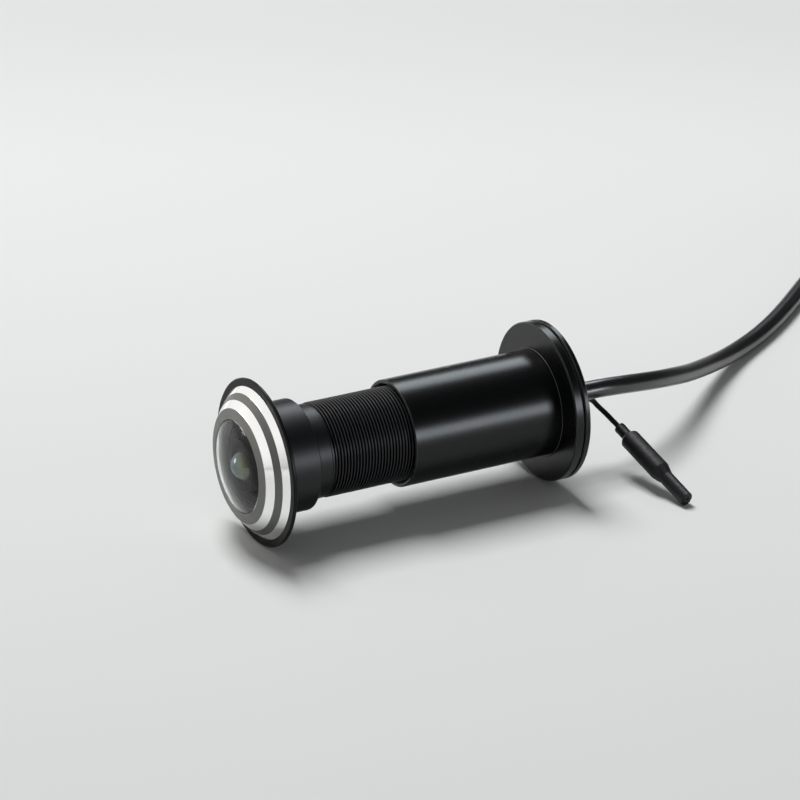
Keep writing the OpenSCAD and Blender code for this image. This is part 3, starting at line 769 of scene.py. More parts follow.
def modified(mesh: Mesh, kind: str, **settings: object) -> Mesh:
    """Run one modifier on a mesh.

    Args:
        mesh: The mesh that goes in.
        kind: Blender's name of the modifier's type.
        **settings: The modifier's properties, and the named inputs of a tree of geometry nodes.

    Returns:
        The result as a plain mesh.
    """
    holder = add_object("holder", mesh)
    modifier = holder.modifiers.new("work", kind)
    named = settings.pop("named", {})
    for key, value in settings.items():
        setattr(modifier, key, value)
    if named:
        for item in modifier.node_group.interface.items_tree:
            if item.in_out == "INPUT" and item.name in named:
                modifier[item.identifier] = named[item.name]
    result = bpy.data.meshes.new_from_object(holder.evaluated_get(bpy.context.evaluated_depsgraph_get()))
    result.name = mesh.name
    bpy.data.objects.remove(holder)
    return result


def thread_tree() -> Tree:
    """Build the tree that winds a thread's ridge around the X axis.

    Returns:
        A tree with the ridge's outline as its geometry and the thread's sizes as named inputs.
    """
    numbers = ("Start", "Root radius", "Length", "Turns", "Fade")
    tree, given = new_geometry_tree("wound_thread", dict.fromkeys(numbers, "Float"))
    sizes = given.outputs
    spiral = add_node(
        tree,
        "GeometryNodeCurveSpiral",
        {
            "Resolution": THREAD_POINTS,
            "Rotations": sizes["Turns"],
            "Start Radius": sizes["Root radius"],
            "End Radius": sizes["Root radius"],
            "Height": sizes["Length"],
        },
    )
    path = add_node(tree, "GeometryNodeSetCurveNormal", {"Curve": spiral.outputs[0]}, mode="Z_UP").outputs[0]
    share = add_node(tree, "GeometryNodeSplineParameter").outputs["Factor"]
    nearest = calculate(tree, "MINIMUM", share, calculate(tree, "SUBTRACT", 1.0, share))
    limits = {"Value": nearest, "From Max": sizes["Fade"], "To Min": RIDGE_END}
    scale = add_node(tree, "ShaderNodeMapRange", limits, interpolation_type="SMOOTHSTEP").outputs["Result"]
    ridge = add_node(tree, "GeometryNodeMeshToCurve", {"Mesh": sizes["Geometry"]}).outputs[0]
    lofted = {"Curve": path, "Profile Curve": ridge, "Scale": scale, "Fill Caps": True}
    wound = add_node(tree, "GeometryNodeCurveToMesh", lofted).outputs[0]
    start = add_node(tree, "ShaderNodeCombineXYZ", {"X": sizes["Start"]}).outputs[0]
    laid = {"Geometry": wound, "Translation": start, "Rotation": (0.0, math.pi / 2, 0.0)}
    placed = add_node(tree, "GeometryNodeTransform", laid).outputs[0]
    close_geometry_tree(tree, placed, sizes["Material"])
    return tree


def row_tree() -> Tree:
    """Build the tree that repeats a mesh along a line.

    Returns:
        A tree with named inputs for the number of copies, the first place, the step and its growth.
    """
    kinds = {"Count": "Int", "First": "Vector", "Step": "Vector", "Growth": "Float"}
    tree, given = new_geometry_tree("row_of_copies", kinds)
    sizes = given.outputs
    places = {"Count": sizes["Count"], "Start Location": sizes["First"], "Offset": sizes["Step"]}
    line = add_node(tree, "GeometryNodeMeshLine", places).outputs[0]
    index = add_node(tree, "GeometryNodeInputIndex").outputs[0]
    scale = calculate(tree, "MULTIPLY_ADD", index, sizes["Growth"], 1.0)
    instances = {"Points": line, "Instance": sizes["Geometry"], "Scale": scale}
    copies = add_node(tree, "GeometryNodeInstanceOnPoints", instances).outputs[0]
    close_geometry_tree(tree, copies, sizes["Material"])
    return tree


def row_of(mesh: Mesh, finish: Finish, count: int, first: Point, step: Point, growth: float = 0.0) -> Mesh:
    """Repeat a mesh along a line.

    Args:
        mesh: The mesh, around its own origin.
        finish: Finish of the copies.
        count: Number of copies.
        first: Place of the first one, in millimetres.
        step: Way from one to the next, in millimetres.
        growth: Share by which each copy is larger than the one before.

    Returns:
        The copies as one mesh.
    """
    tree = bpy.data.node_groups.get("row_of_copies") or row_tree()
    places = {"First": Vector(first) * MM, "Step": Vector(step) * MM}
    named = {"Count": count, **places, "Growth": growth, "Material": finish.material()}
    return modified(mesh, "NODES", node_group=tree, named=named)


def joined(name: str, *meshes: Mesh) -> Mesh:
    """Join meshes of one finish into one, which keeps their UV maps and smooth shading.

    Args:
        name: Name of the new mesh.
        *meshes: The meshes.

    Returns:
        The new mesh, without a material.
    """
    work = bmesh.new()
    for mesh in meshes:
        work.from_mesh(mesh)
    for face in work.faces:
        face.material_index = 0
    made = bpy.data.meshes.new(name)
    work.to_mesh(made)
    work.free()
    return made


def smooth_line(knots: list[Point], spacing: float) -> list[Point]:
    """Run a smooth line through some knots.

    Args:
        knots: Points that the line passes through.
        spacing: Greatest space between two points of the line.

    Returns:
        Points of the line, knots among them.
    """
    points = [Vector(k) for k in knots]
    line = [points[0]]
    for i in range(len(points) - 1):
        a, b = points[i], points[i + 1]
        before, after = points[max(i - 1, 0)], points[min(i + 2, len(points) - 1)]
        span = (b - a).length
        leave = (b - before).normalized() * span
        arrive = (after - a).normalized() * span
        steps = max(1, math.ceil(span / spacing))
        for t in (k / steps for k in range(1, steps + 1)):
            ends = (2 * t**3 - 3 * t**2 + 1) * a + (3 * t**2 - 2 * t**3) * b
            line.append(ends + (t**3 - 2 * t**2 + t) * leave + (t**3 - t**2) * arrive)
    return [tuple(p) for p in line]


def round_wire(name: str, line: list[Point], diameter: float) -> bpy.types.Curve:
    """Make a round wire as a curve of one open spline.

    Args:
        name: Name of the curve.
        line: Points of its centreline, in millimetres.
        diameter: Its diameter, in millimetres.

    Returns:
        The curve, in metres.
    """
    curve = bpy.data.curves.new(name, "CURVE")
    curve.dimensions = "3D"
    curve.bevel_depth = diameter / 2 * MM
    curve.bevel_resolution = WIRE_STEPS
    curve.use_fill_caps = True
    spline = curve.splines.new("POLY")
    spline.points.add(len(line) - 1)
    for point, place in zip(spline.points, line):
        point.co = (*(c * MM for c in place), 1.0)
    spline.use_smooth = True
    return curve


@dataclass
class Lamp:
    """One soft box, aimed at the part.

    Attributes:
        name: Its name.
        azimuth: Direction from the part, in degrees from +X towards +Y.
        elevation: Direction above the floor, in degrees.
        distance: Distance from the part, in metres.
        size: Width and height, in metres.
        watts: Its power.
        tint: sRGB hex colour of its light.
        card: Whether it only shows in shiny surfaces, like a card, and doesn't light the floor.
    """

    name: str
    azimuth: float
    elevation: float
    distance: float
    size: Range
    watts: float
    tint: str = "#ffffff"
    card: bool = False

    def hang(self, target: Vector) -> None:
        """Hang the lamp and aim it at a point."""
        a, e = math.radians(self.azimuth), math.radians(self.elevation)
        out = Vector((math.cos(e) * math.cos(a), math.cos(e) * math.sin(a), math.sin(e)))
        light = bpy.data.lights.new(self.name, "AREA")
        light.shape = "RECTANGLE"
        light.size, light.size_y = self.size
        light.energy = self.watts
        light.color = linear(self.tint)[:3]
        lamp = add_object(self.name, light)
        lamp.location = target + out * self.distance
        lamp.rotation_euler = (-out).to_track_quat("-Z", "Y").to_euler()
        lamp.visible_diffuse = not self.card


@dataclass
class Studio:
    """Pale floor, soft boxes and the camera at the photograph's viewing angle."""

    camera_at: Point = (-0.26414, -0.53258, 0.26666)
    tilt: float = 66.62
    heading: float = -28.35
    lens: float = 202.635
    sensor: float = 36.0
    clip: Range = (0.01, 20.0)
    floor_size: float = 6.0
    lamps: tuple[Lamp, ...] = (
        Lamp("key", 90, 67, 1.0, (0.36, 0.56), 9.7),
        Lamp("rear_card", 52, 43, 0.6, (0.2, 0.24), 1.07, "#f0f9ff", True),
        Lamp("front_card", -63, 9, 0.6, (0.2, 0.17), 1.4, "#f0f9ff", True),
        Lamp("lens_card", 135, 12, 0.7, (0.24, 0.2), 1.2, "#fff6e8", True),
    )
    aim: Point = (0.022, 0.0, 0.0)
    dim_surround: Range = (0.42, 0.18)
    dim_height: Range = (0.0, 0.6)
    pale_side: Point = (-0.766, 0.643, 0.0)
    wall_edge: Range = (0.25, 0.6)
    wall_glow: Range = (0.05, 1.0)
    wall_top: Range = (0.55, 0.9)
    wall_fade: Range = (1.0, 0.1)

    def set_camera(self) -> None:
        """Place the camera."""
        data = bpy.data.cameras.new("camera")
        data.lens, data.sensor_width = self.lens, self.sensor
        data.clip_start, data.clip_end = self.clip
        camera = add_object("camera", data)
        camera.location = self.camera_at
        camera.rotation_euler = (math.radians(self.tilt), 0.0, math.radians(self.heading))
        bpy.context.scene.camera = camera

    def lay_floor(self) -> None:
        """Lay the floor."""
        half = self.floor_size / 2
        mesh = bpy.data.meshes.new("floor")
        corners = [(-half, -half), (half, -half), (half, half), (-half, half)]
        mesh.from_pydata([(x, y, FLOOR_Z * MM) for x, y in corners], [], [(0, 1, 2, 3)])
        mesh.materials.append(FLOOR_BOARD.material())
        add_object("floor", mesh)

    def light(self) -> None:
        """Hang the lamps and set the surround: dim, but mirrored as a pale wall on the lens's side."""
        for lamp in self.lamps:
            lamp.hang(Vector(self.aim))
        world = bpy.data.worlds.new("surround")
        world.use_nodes = True
        tree = world.node_tree
        way = coordinates(tree, "Generated")
        height = add_node(tree, "ShaderNodeSeparateXYZ", {0: way}).outputs["Z"]
        side = add_node(tree, "ShaderNodeVectorMath", {0: way, 1: self.pale_side}, operation="DOT_PRODUCT")
        wall = ramp(tree, side.outputs["Value"], self.wall_edge, self.wall_glow)
        wall = times(tree, wall, ramp(tree, height, self.wall_top, self.wall_fade))
        ray = add_node(tree, "ShaderNodeLightPath").outputs
        mirrored = calculate(tree, "MAXIMUM", ray["Is Glossy Ray"], ray["Is Transmission Ray"])
        dim = ramp(tree, height, self.dim_height, self.dim_surround)
        strength = add_node(tree, "ShaderNodeMix", {0: mirrored, 2: dim, 3: wall}).outputs[0]
        sky = tree.nodes["Background"]
        sky.inputs["Color"].default_value = linear("#ffffff")
        tree.links.new(strength, sky.inputs["Strength"])
        bpy.context.scene.world = world
        bpy.context.scene.view_settings.view_transform = "Standard"


@dataclass
class PowerCord:
    """Power cable from the tail plug through the cap, the spare length in a coil, its tie and its plug."""

    diameter: float = 2.8
    exit_x: float = 49.29
    length: float = 0.981
    start: Point = (26.8, 0.0, 0.0)
    inside: Point = (41.0, 0.0, 0.0)
    spacing: float = 1.6
    route: tuple[Point, ...] = (
        (56, 0, 0), (61, 0.2, -0.3), (67.5, 2.4, -1.8), (72, 5, -3.2), (76.5, 8.1, -4.8), (80.2, 11, -6.2),
        (84, 14, -7.4), (87.6, 17, -8.6), (91.4, 19.8, -9.6), (98, 24.6, -10.8), (104.4, 28.6, -11),
        (111.7, 34, -11), (120.4, 41.4, -11), (127, 47, -10.8),
    )
    free_x: Range = (58.0, 122.0)
    relaxing: int = 10
    coil_centre: Range = (150.5, 37.0)
    coil_start: float = 130.0
    coil_turns: int = 8
    coil_outer_r: float = 22.7
    coil_gap: float = 0.45
    coil_low_z: float = -10.5
    coil_steps: int = 24
    tail_l: float = 16.0
    tail_drop: Range = (10.0, 13.0)
    plug_z: float = -8.5
    tie_reach: Range = (8.4, 22.25)
    tie_w: float = 6.0
    tie_t: float = 0.5
    tie_corner: float = 1.0
    tie_lap: float = 11.0
    tie_gap: float = 0.1
    tie_ramp: Range = (0.9, 0.1)
    tie_lift: float = 0.05
    tie_section: tuple[Range, ...] = ((-1.0, 0.7), (-0.97, 1.0), (0.97, 1.0), (1.0, 0.7))

    @property
    def sweep(self) -> float:
        """Angle of the whole coil, in degrees."""
        return self.coil_turns * 360 + self.coil_start

    @property
    def pitch(self) -> float:
        """Space from turn to turn and from layer to layer."""
        return self.diameter + self.coil_gap

    @property
    def inner_r(self) -> float:
        """Radius of the innermost turn."""
        return self.coil_outer_r - self.pitch * self.sweep / 720

    def coil_point(self, angle: float) -> Vector:
        """Give a point of the coil, which winds in on the lower layer and out on the upper one."""
        r = self.inner_r + self.pitch * abs(angle - self.sweep / 2) / 360
        t = min(max((angle - self.sweep / 2 + 90) / 180, 0), 1)
        a = math.radians(self.coil_start - angle)
        x, y = self.coil_centre
        rise = self.pitch * t * t * (3 - 2 * t)
        return Vector((x + r * math.cos(a), y + r * math.sin(a), self.coil_low_z + rise))

    def coil_heading(self, angle: float) -> Vector:
        """Give the direction of the cable at an angle of the coil."""
        a = math.radians(self.coil_start - angle)
        return Vector((math.sin(a), -math.cos(a), 0))

    @property
    def plug_at(self) -> Vector:
        """Place where the cable enters its plug."""
        out = self.coil_point(self.sweep) + self.diameter * self.coil_heading(self.sweep)
        return Vector((out.x, out.y - self.tail_l, self.plug_z))

    def centreline(self) -> list[Point]:
        """List the points of the cable from the tail plug to its plug, with its free run relaxed."""
        lead = self.diameter * self.coil_heading(0)
        into = self.coil_point(0) - lead
        knots = [*map(Vector, (self.start, self.inside, *self.route)), into - lead, into]
        step = 360 / self.coil_steps
        knots += [self.coil_point(i * step) for i in range(math.floor(self.sweep / step) + 1)]
        out = self.coil_point(self.sweep)
        tail = self.diameter * self.coil_heading(self.sweep)
        x, y = (out + tail).xy
        knots += [out, out + tail, out + 2 * tail]
        knots += [Vector((x, y - drop, self.plug_z)) for drop in self.tail_drop]
        line = np.array(smooth_line([*knots, self.plug_at], self.spacing))
        low, high = self.free_x
        free = np.arange(np.argmax(line[:, 0] > low), np.argmax(line[:, 0] > high))
        for _ in range(self.relaxing):
            line[free] = (line[free - 1] + 2 * line[free] + line[free + 1]) / 4
        return line.tolist()

    def tie(self) -> Mesh:
        """Weave the tie around the coil's near side, with its end lapped on top."""
        inner, outer = self.tie_reach
        half_w = (outer - inner + self.tie_t) / 2
        half_h = (self.pitch + self.diameter) / 2 + self.tie_gap + self.tie_t / 2
        lap, r = self.tie_lap / 2, self.tie_corner + self.tie_t / 2
        loop = [(y, half_h) for y in np.linspace(-lap, half_w - r, 12)[:-1]]
        for cy, cz, first in ((1, 1, 90), (1, -1, 0), (-1, -1, -90), (-1, 1, -180)):
            for a in np.radians(np.linspace(first, first - 90, 9)):
                loop.append((cy * (half_w - r) + r * math.cos(a), cz * (half_h - r) + r * math.sin(a)))
        foot, top = self.tie_ramp
        loop.append((-lap - foot, half_h + self.tie_lift))
        loop += [(y, half_h + self.tie_t) for y in np.linspace(-lap - top, lap, 10)]
        line = np.array(loop)
        along = np.gradient(line, axis=0)
        along /= np.linalg.norm(along, axis=1)[:, None]
        normal = np.stack([-along[:, 1], along[:, 0]], axis=1)
        run = np.concatenate([[0], np.cumsum(np.linalg.norm(np.diff(line, axis=0), axis=1))])
        section = [*self.tie_section, *((-u, -v) for u, v in self.tie_section)]
        across, out = np.array(section).T * [[self.tie_w / 2], [self.tie_t / 2]]
        centre = (self.coil_centre[1] - (inner + outer) / 2, self.coil_low_z + self.pitch / 2)
        rings = np.zeros((len(line), len(across), 3))
        rings[:, :, 0] = self.coil_centre[0] + across
        rings[:, :, 1:] = centre + line[:, None] + normal[:, None] * out[:, None]
        uv = np.stack(np.broadcast_arrays(across[None], run[:, None]), axis=2)
        return skin("coil_tie", rings, uv)

    def build(self, plug: list[bpy.types.Object]) -> None:
        """Args:
            plug: Pieces of the plug on its far end; not used.
        """
        wire = round_wire("power_cord", self.centreline(), self.diameter)
        nodes = ("power_cable", "cable_coil", "cable_tail")
        cable = publish(wire, "power_cord", Body.CAMERA, CABLE_JACKET, *nodes)
        tie = publish(self.tie(), "coil_tie", Body.CAMERA, STRAP_FABRIC, "coil_strap")


@dataclass
class PowerPlug:
    """Plug on the power cable: a moulded grip, a pressed shell and a tongue with four contacts."""

    at: Vector
    relief_l: float = 8.0
    relief_r: Range = (2.0, 3.2)
    grip: Point = (15.0, 8.0, 20.0)
    relief_lip: float = 0.25
    grip_edges: Range = (1.4, 0.8)
    grip_square: float = 5.0
    relief_square: float = 2.0
    relief_end: float = 0.4
    sides: int = 64
    shell: Point = (12.0, 4.5, 16.0)
    shell_wall: float = 0.3
    shell_edge: float = 0.5
    mouth_l: float = 0.4
    mouth_draw: float = 0.03
    window_x: Range = (1.6, 4.1)
    window_z: Range = (6.0, 8.2)
    tongue_t: float = 1.9
    tongue_l: float = 14.0
    tongue_gap: float = 0.05
    contacts: int = 4
    contact: Point = (1.0, 0.1, 7.4)
    contact_step: float = 2.4
    contact_edge: float = 0.03
    contact_inset: float = 1.2
    relief_rings: int = 4
    ring_at: float = 1.5
    ring_step: float = 1.6
    ring_growth: float = 0.115
    ring_half: float = 0.45
    ring_reach: Range = (-0.35, 0.22)
    ring_edge: float = 0.12
    ribs: int = 6
    rib: Point = (7.5, 0.5, 0.8)
    rib_at: float = 5.0
    rib_step: float = 1.9
    rib_edge: float = 0.2
    rib_rise: float = 0.16

    def settle(self, mesh: Mesh) -> Mesh:
        """Move a mesh from the plug's own frame, where +Z leads out of it and +Y is up, to its place."""
        mesh.transform(Matrix.Translation(self.at * MM) @ Matrix.Rotation(math.pi / 2, 4, "X"))
        return mesh

    def block(self, name: str, size: Point, edge: float) -> Mesh:
        """Make a block with rounded edges, centred on its own frame.

        Args:
            name: Name of the mesh.
            size: Its sizes.
            edge: Rounding of its edges.

        Returns:
            The mesh.
        """
        work = bmesh.new()
        bmesh.ops.create_cube(work, size=1.0)
        bmesh.ops.scale(work, vec=[c * MM for c in size], verts=work.verts)
        bmesh.ops.bevel(work, geom=work.edges, offset=edge * MM, segments=2, affect="EDGES", profile=0.5)
        return close_mesh(work, name)

    def grip_body(self) -> Mesh:
        """Loft the grip through sections, round on the strain relief and nearly square behind it."""
        half_w, half_h = self.grip[0] / 2, self.grip[1] / 2 - self.rib_rise
        (r1, r2), base, end = self.relief_r, self.relief_l, self.relief_l + self.grip[2]
        lip = self.relief_lip
        relief = ((0.0, r1 - lip), (lip, r1), (base - self.relief_end, r2))
        rows = [(distance, r, r, self.relief_square) for distance, r in relief]
        for at, way, edge in ((base, 1, self.grip_edges[0]), (end, -1, self.grip_edges[1])):
            angles = np.radians(range(0, 91, 15))[::way]
            for back, inset in zip(edge * (1 - np.cos(angles)), edge * (1 - np.sin(angles))):
                rows.append((at + way * back, half_w - inset, half_h - inset, self.grip_square))
        angles = np.linspace(0, 2 * math.pi, self.sides + 1)[:-1]
        c, s = np.cos(angles), np.sin(angles)
        rings = []
        for distance, wide, high, square in rows:
            x, y = (np.sign(f) * abs(f) ** (2 / square) for f in (c, s))
            rings.append(np.stack([wide * x, high * y, np.full(self.sides, distance)], axis=1))
        return skin("usb_grip_body", np.array(rings))

    def grip_mesh(self) -> Mesh:
        """Mould the grip, with rings on its strain relief and ribs on its flat sides."""
        low, high = (self.relief_r[0] + reach for reach in self.ring_reach)
        half, edge = self.ring_half, self.ring_edge
        section = Turning(((-half, low), (-half, high, edge), (half, high, edge), (half, low)), self.sides)
        ring = section.mesh("relief_ring", Matrix.Rotation(-math.pi / 2, 4, "Y"))
        first, step = (0, 0, self.ring_at), (0, 0, self.ring_step)
        rings = row_of(ring, PLUG_VINYL, self.relief_rings, first, step, self.ring_growth)
        parts = [self.grip_body(), rings]
        for side in (-1, 1):
            rib = self.block("grip_rib", self.rib, self.rib_edge)
            first = (0, side * (self.grip[1] - self.rib[1]) / 2, self.relief_l + self.rib_at)
            parts.append(row_of(rib, PLUG_VINYL, self.ribs, first, (0, 0, self.rib_step)))
        return self.settle(joined("usb_grip", *parts))

    def shell_mesh(self) -> Mesh:
        """Press the shell from sheet, with a pair of latch windows on both flat sides."""
        start, length, r = self.relief_l + self.grip[2], self.shell[2], self.shell_edge
        half_w, half_h = self.shell[0] / 2, self.shell[1] / 2
        near, far = self.window_x
        loop: list[Range] = []
        for side in (1, -1):
            loop += [(side * x, side * half_h) for x in (r - half_w, -far, -near, near, far)]
            for cy, first in ((half_h - r, 90), (r - half_h, 0)):
                for a in np.radians(np.linspace(first, first - 90, 7)):
                    loop.append((side * (half_w - r + r * math.cos(a)), side * (cy + r * math.sin(a))))
        stations = [0.0, *self.window_z, length - self.mouth_l, length]
        work = bmesh.new()
        rings = []
        for s in stations:
            draw = 1 - (self.mouth_draw if s == length else 0.0)
            rings.append([work.verts.new((x * draw * MM, y * draw * MM, (start + s) * MM)) for x, y in loop])
        for i in range(len(stations) - 1):
            for k in range(len(loop)):
                j = (k + 1) % len(loop)
                ends = sorted((abs(loop[k][0]), abs(loop[j][0])))
                if stations[i] != self.window_z[0] or ends != [near, far]:
                    work.faces.new([rings[i][k], rings[i][j], rings[i + 1][j], rings[i + 1][k]])
        sheet = close_mesh(work, "usb_shell")
        pressed = modified(sheet, "SOLIDIFY", thickness=self.shell_wall * MM, offset=-1.0)
        work = bmesh.new()
        work.from_mesh(pressed)
        return self.settle(close_mesh(work, "usb_shell"))

    def contacts_mesh(self) -> Mesh:
        """Set four gilt contacts on the tongue."""
        top = -self.shell[1] / 2 + self.shell_wall + self.tongue_gap + self.tongue_t
        middle = self.relief_l + self.grip[2] + self.tongue_l - self.contact_inset - self.contact[2] / 2
        first = ((1 - self.contacts) / 2 * self.contact_step, top, middle)
        strip = self.block("contact", self.contact, self.contact_edge)
        return self.settle(row_of(strip, GILT_BRASS, self.contacts, first, (self.contact_step, 0, 0)))

    def build(self) -> list[bpy.types.Object]:
        """Make the plug's pieces.

        Returns:
            The pieces that go with the cable.
        """
        grip = publish(self.grip_mesh(), "usb_grip_moulding", Body.CAMERA, PLUG_VINYL, "usb_grip")
        shell = publish(self.shell_mesh(), "usb_shell_pressing", Body.CAMERA, BRIGHT_STEEL, "usb_shell")
        contacts = publish(self.contacts_mesh(), "usb_contacts", Body.CAMERA, GILT_BRASS)
        dress_nodes(WHITE_PLASTIC, "usb_tongue")
        return [grip, shell, contacts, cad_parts["usb_tongue"]]


@dataclass
class AntennaLead:
    """Coaxial lead from the tail plug through the cap to a small antenna in shrink tube."""

    diameter: float = 0.8
    length: float = 0.0435
    exit: Point = (29.2, 1.9, -2.0)
    start: Point = (21.6, 1.9, -2.0)
    inside: Point = (38.0, 1.9, -2.0)
    spacing: float = 0.5
    route: tuple[Point, ...] = (
        (54.5, 1.9, -2.0), (55.6, 1.85, -2.05), (56.8, 1.4, -2.4), (57.4, 0.6, -3.2), (58.0, -0.6, -4.0),
        (58.5, -1.8, -4.8),
    )
    antenna_from: Point = (59.0, -3.1, -5.6)
    antenna_to: Point = (61.0, -19.4, -11.4)
    collar_l: float = 2.2
    collar_r: float = 0.86
    collar_edge: float = 0.12
    collar_sides: int = 64
    body_r: float = 1.55
    tip_r: float = 1.1
    body_at: float = 2.8
    shoulder_at: float = 10.6
    tip_at: float = 12.2
    tip_draw: float = 0.04
    hole_r: Range = (0.45, 0.3)
    hole_l: float = 0.14
    sheath_t: float = 0.12
    sheath_lap: float = 0.3
    sheath_sides: int = 96
    plain_l: float = 0.2
    pinch: float = 0.1
    puckers: Range = (0.021, 0.012)

    @property
    def axis(self) -> Vector:
        """The antenna's direction and length."""
        return Vector(self.antenna_to) - Vector(self.antenna_from)

    @property
    def place(self) -> Matrix:
        """Matrix that lays the X axis of a turned piece along the antenna."""
        turn = self.axis.to_track_quat("X", "Z").to_matrix().to_4x4()
        return Matrix.Translation(Vector(self.antenna_from) * MM) @ turn

    def collar(self) -> Mesh:
        """Make the small tube that grips the lead at the antenna's neck."""
        r, bore = self.collar_r, self.diameter / 2
        corners = ((0.0, bore), (0.0, r, self.collar_edge), (self.collar_l, r), (self.collar_l, bore))
        return Turning(corners, self.collar_sides).mesh("antenna_collar", self.place)

    def sheath(self) -> Mesh:
        """Make the shrink tube, drawn in over the antenna's body and past its tip, with a pinched end."""
        r, tip, end = self.body_r, self.tip_r, self.axis.length
        deep, fine = self.puckers
        neck, neck_r, hole = self.collar_l, self.collar_r, end - self.hole_l
        mouth_r, hole_r = self.hole_r
        corners = (
            (neck, neck_r - self.sheath_lap), (neck, neck_r + self.sheath_t, 0.08), (self.body_at, r, 0.35),
            (self.shoulder_at, r, 0.5), (self.tip_at, tip, 0.5), (end, tip - self.tip_draw, 0.07),
            (end, mouth_r, 0.1), (hole, hole_r), (hole, 0.0), (neck, 0.0),
        )
        mesh = Turning(corners, self.sheath_sides).mesh("antenna_sheath")
        for vertex in mesh.vertices:
            x, y, z = vertex.co / MM
            if x < neck + self.plain_l:
                continue
            a = math.atan2(z, y)
            pucker = deep * math.sin(3 * a + 1.3 * x) * math.sin(1.1 * x) + fine * math.sin(5 * a - 2.1 * x)
            share = max(0.0, (x - self.shoulder_at) / (end - self.shoulder_at))
            scale = 1 - self.pinch * share * math.cos(2 * a) + pucker
            vertex.co.y *= scale
            vertex.co.z *= scale
        mesh.transform(self.place)
        return mesh

    def build(self) -> None:
        """Lay the lead and make the antenna on its end."""
        neck = Vector(self.antenna_from) + self.axis.normalized() * self.collar_l
        knots = [self.start, self.inside, *self.route, self.antenna_from, tuple(neck)]
        wire = round_wire("antenna_lead", smooth_line(knots, self.spacing), self.diameter)
        lead = publish(wire, "antenna_lead", Body.CAMERA, COAX_JACKET, "antenna_coax")
        collar = publish(self.collar(), "antenna_neck_tube", Body.CAMERA, SHRINK_TUBE, "antenna_collar")
        sheath = publish(self.sheath(), "antenna_shrink_tube", Body.CAMERA, SHRINK_TUBE, "antenna_sheath")
        dress_nodes(GILT_BRASS, "antenna_tube")
        dress_nodes(WHITE_PLASTIC, "antenna_rod")


@dataclass
class FrontCrown:
    """Front flange, the two bright rings, the grey bezel and the glass dome."""

    flange_r: float = 12.5
    flange_t: float = 0.6
    chamfer: float = 0.15
    ring_seat_x: float = -0.35
    outer_ring_r: float = 11.35
    outer_ring_x: float = -1.45
    band_r: float = 10.45
    band_x: float = -2.25
    inner_ring_r: float = 9.65
    inner_seat_x: float = -2.0
    inner_ring_x: float = -3.2
    lip_r: float = 8.55
    lip_x: float = -3.55
    glass_r: float = 7.0
    glass_front_x: float = -3.2
    glass_rear_x: float = -2.4
    glass_rim_r: float = 7.6
    glass_sag: float = 1.5
    hollow_r: float = 6.75
    hollow_rise: float = 1.45
    nose_r: float = 7.9
    collar_r: float = 8.8
    collar_depth: float = 0.15
    spigot_x: float = -1.15
    fit: float = 0.02
    glass_gap: float = 0.05
    glass_steps: tuple[int, int] = (32, 28)

    def flange(self) -> Turning:
        """Give the flange's section."""
        face, hole, recess = -self.flange_t, self.nose_r + self.fit, self.outer_ring_r + self.fit
        return turned(
            (-self.collar_depth, hole), (-self.collar_depth, self.collar_r + self.fit),
            (0.0, self.collar_r + self.fit), *chamfered_rim(0.0, face, self.flange_r, self.chamfer),
            (face, recess), (self.ring_seat_x, recess), (self.ring_seat_x, hole),
        )

    def outer_ring(self) -> Turning:
        """Give the outer bright ring's section."""
        inner = self.band_r + self.fit
        return turned(
            (self.ring_seat_x, inner), (self.ring_seat_x, self.outer_ring_r),
            (-self.flange_t, self.outer_ring_r, 0.03), (self.outer_ring_x, inner, 0.03),
        )

    def bezel(self) -> Turning:
        """Give the grey bezel's section, which carries the inner ring and holds the glass."""
        bore, pocket = self.nose_r + self.fit, self.glass_rim_r + self.glass_gap
        return turned(
            (self.ring_seat_x, bore), (self.ring_seat_x, self.band_r), (self.outer_ring_x, self.band_r, 0.05),
            (self.band_x, self.inner_ring_r), (self.inner_seat_x, self.inner_ring_r),
            (self.inner_seat_x, self.lip_r), (self.inner_ring_x, self.lip_r, 0.05),
            (self.lip_x, self.glass_r, 0.1), (self.glass_front_x, self.glass_r), (self.glass_front_x, pocket),
            (self.spigot_x, pocket), (self.spigot_x, bore),
        )

    def inner_ring(self) -> Turning:
        """Give the inner bright ring's section."""
        inner, outer = self.lip_r + self.fit, self.inner_ring_r - self.fit
        return turned(
            (self.inner_seat_x, inner), (self.inner_seat_x, outer), (self.band_x, outer),
            (self.inner_ring_x, inner, 0.03),
        )

    def glass(self) -> Turning:
        """Give the dome's section: a round top, a hidden rim and a round hollow behind it."""
        dome_r = self.glass_r - self.glass_gap
        outside, inside = self.glass_steps
        top = round_cap(self.lip_x + self.glass_gap, dome_r, self.glass_sag, outside, True)
        hollow = round_cap(self.glass_front_x, self.hollow_r, self.hollow_rise, inside, False)
        rim = (
            (self.glass_front_x, dome_r), (self.glass_front_x, self.glass_rim_r, 0.08),
            (self.glass_rear_x, self.glass_rim_r, 0.08), (self.glass_rear_x, self.hollow_r),
        )
        return turned(*top, *rim, *hollow)

    def build(self) -> None:
        """Make the crown's pieces."""
        publish_turnings(
            Body.CAMERA, (self.flange(), "front_flange_turning", BLACK_FLANGE, "front_flange"),
            (self.outer_ring(), "outer_bright_ring", BRIGHT_TRIM, "outer_trim_ring"),
            (self.bezel(), "grey_bezel", GREY_ANODISED, "bezel_ring"),
            (self.inner_ring(), "inner_bright_ring", BRIGHT_TRIM, "inner_trim_ring"),
            (self.glass(), "glass_dome", LENS_GLASS, "front_glass"),
        )


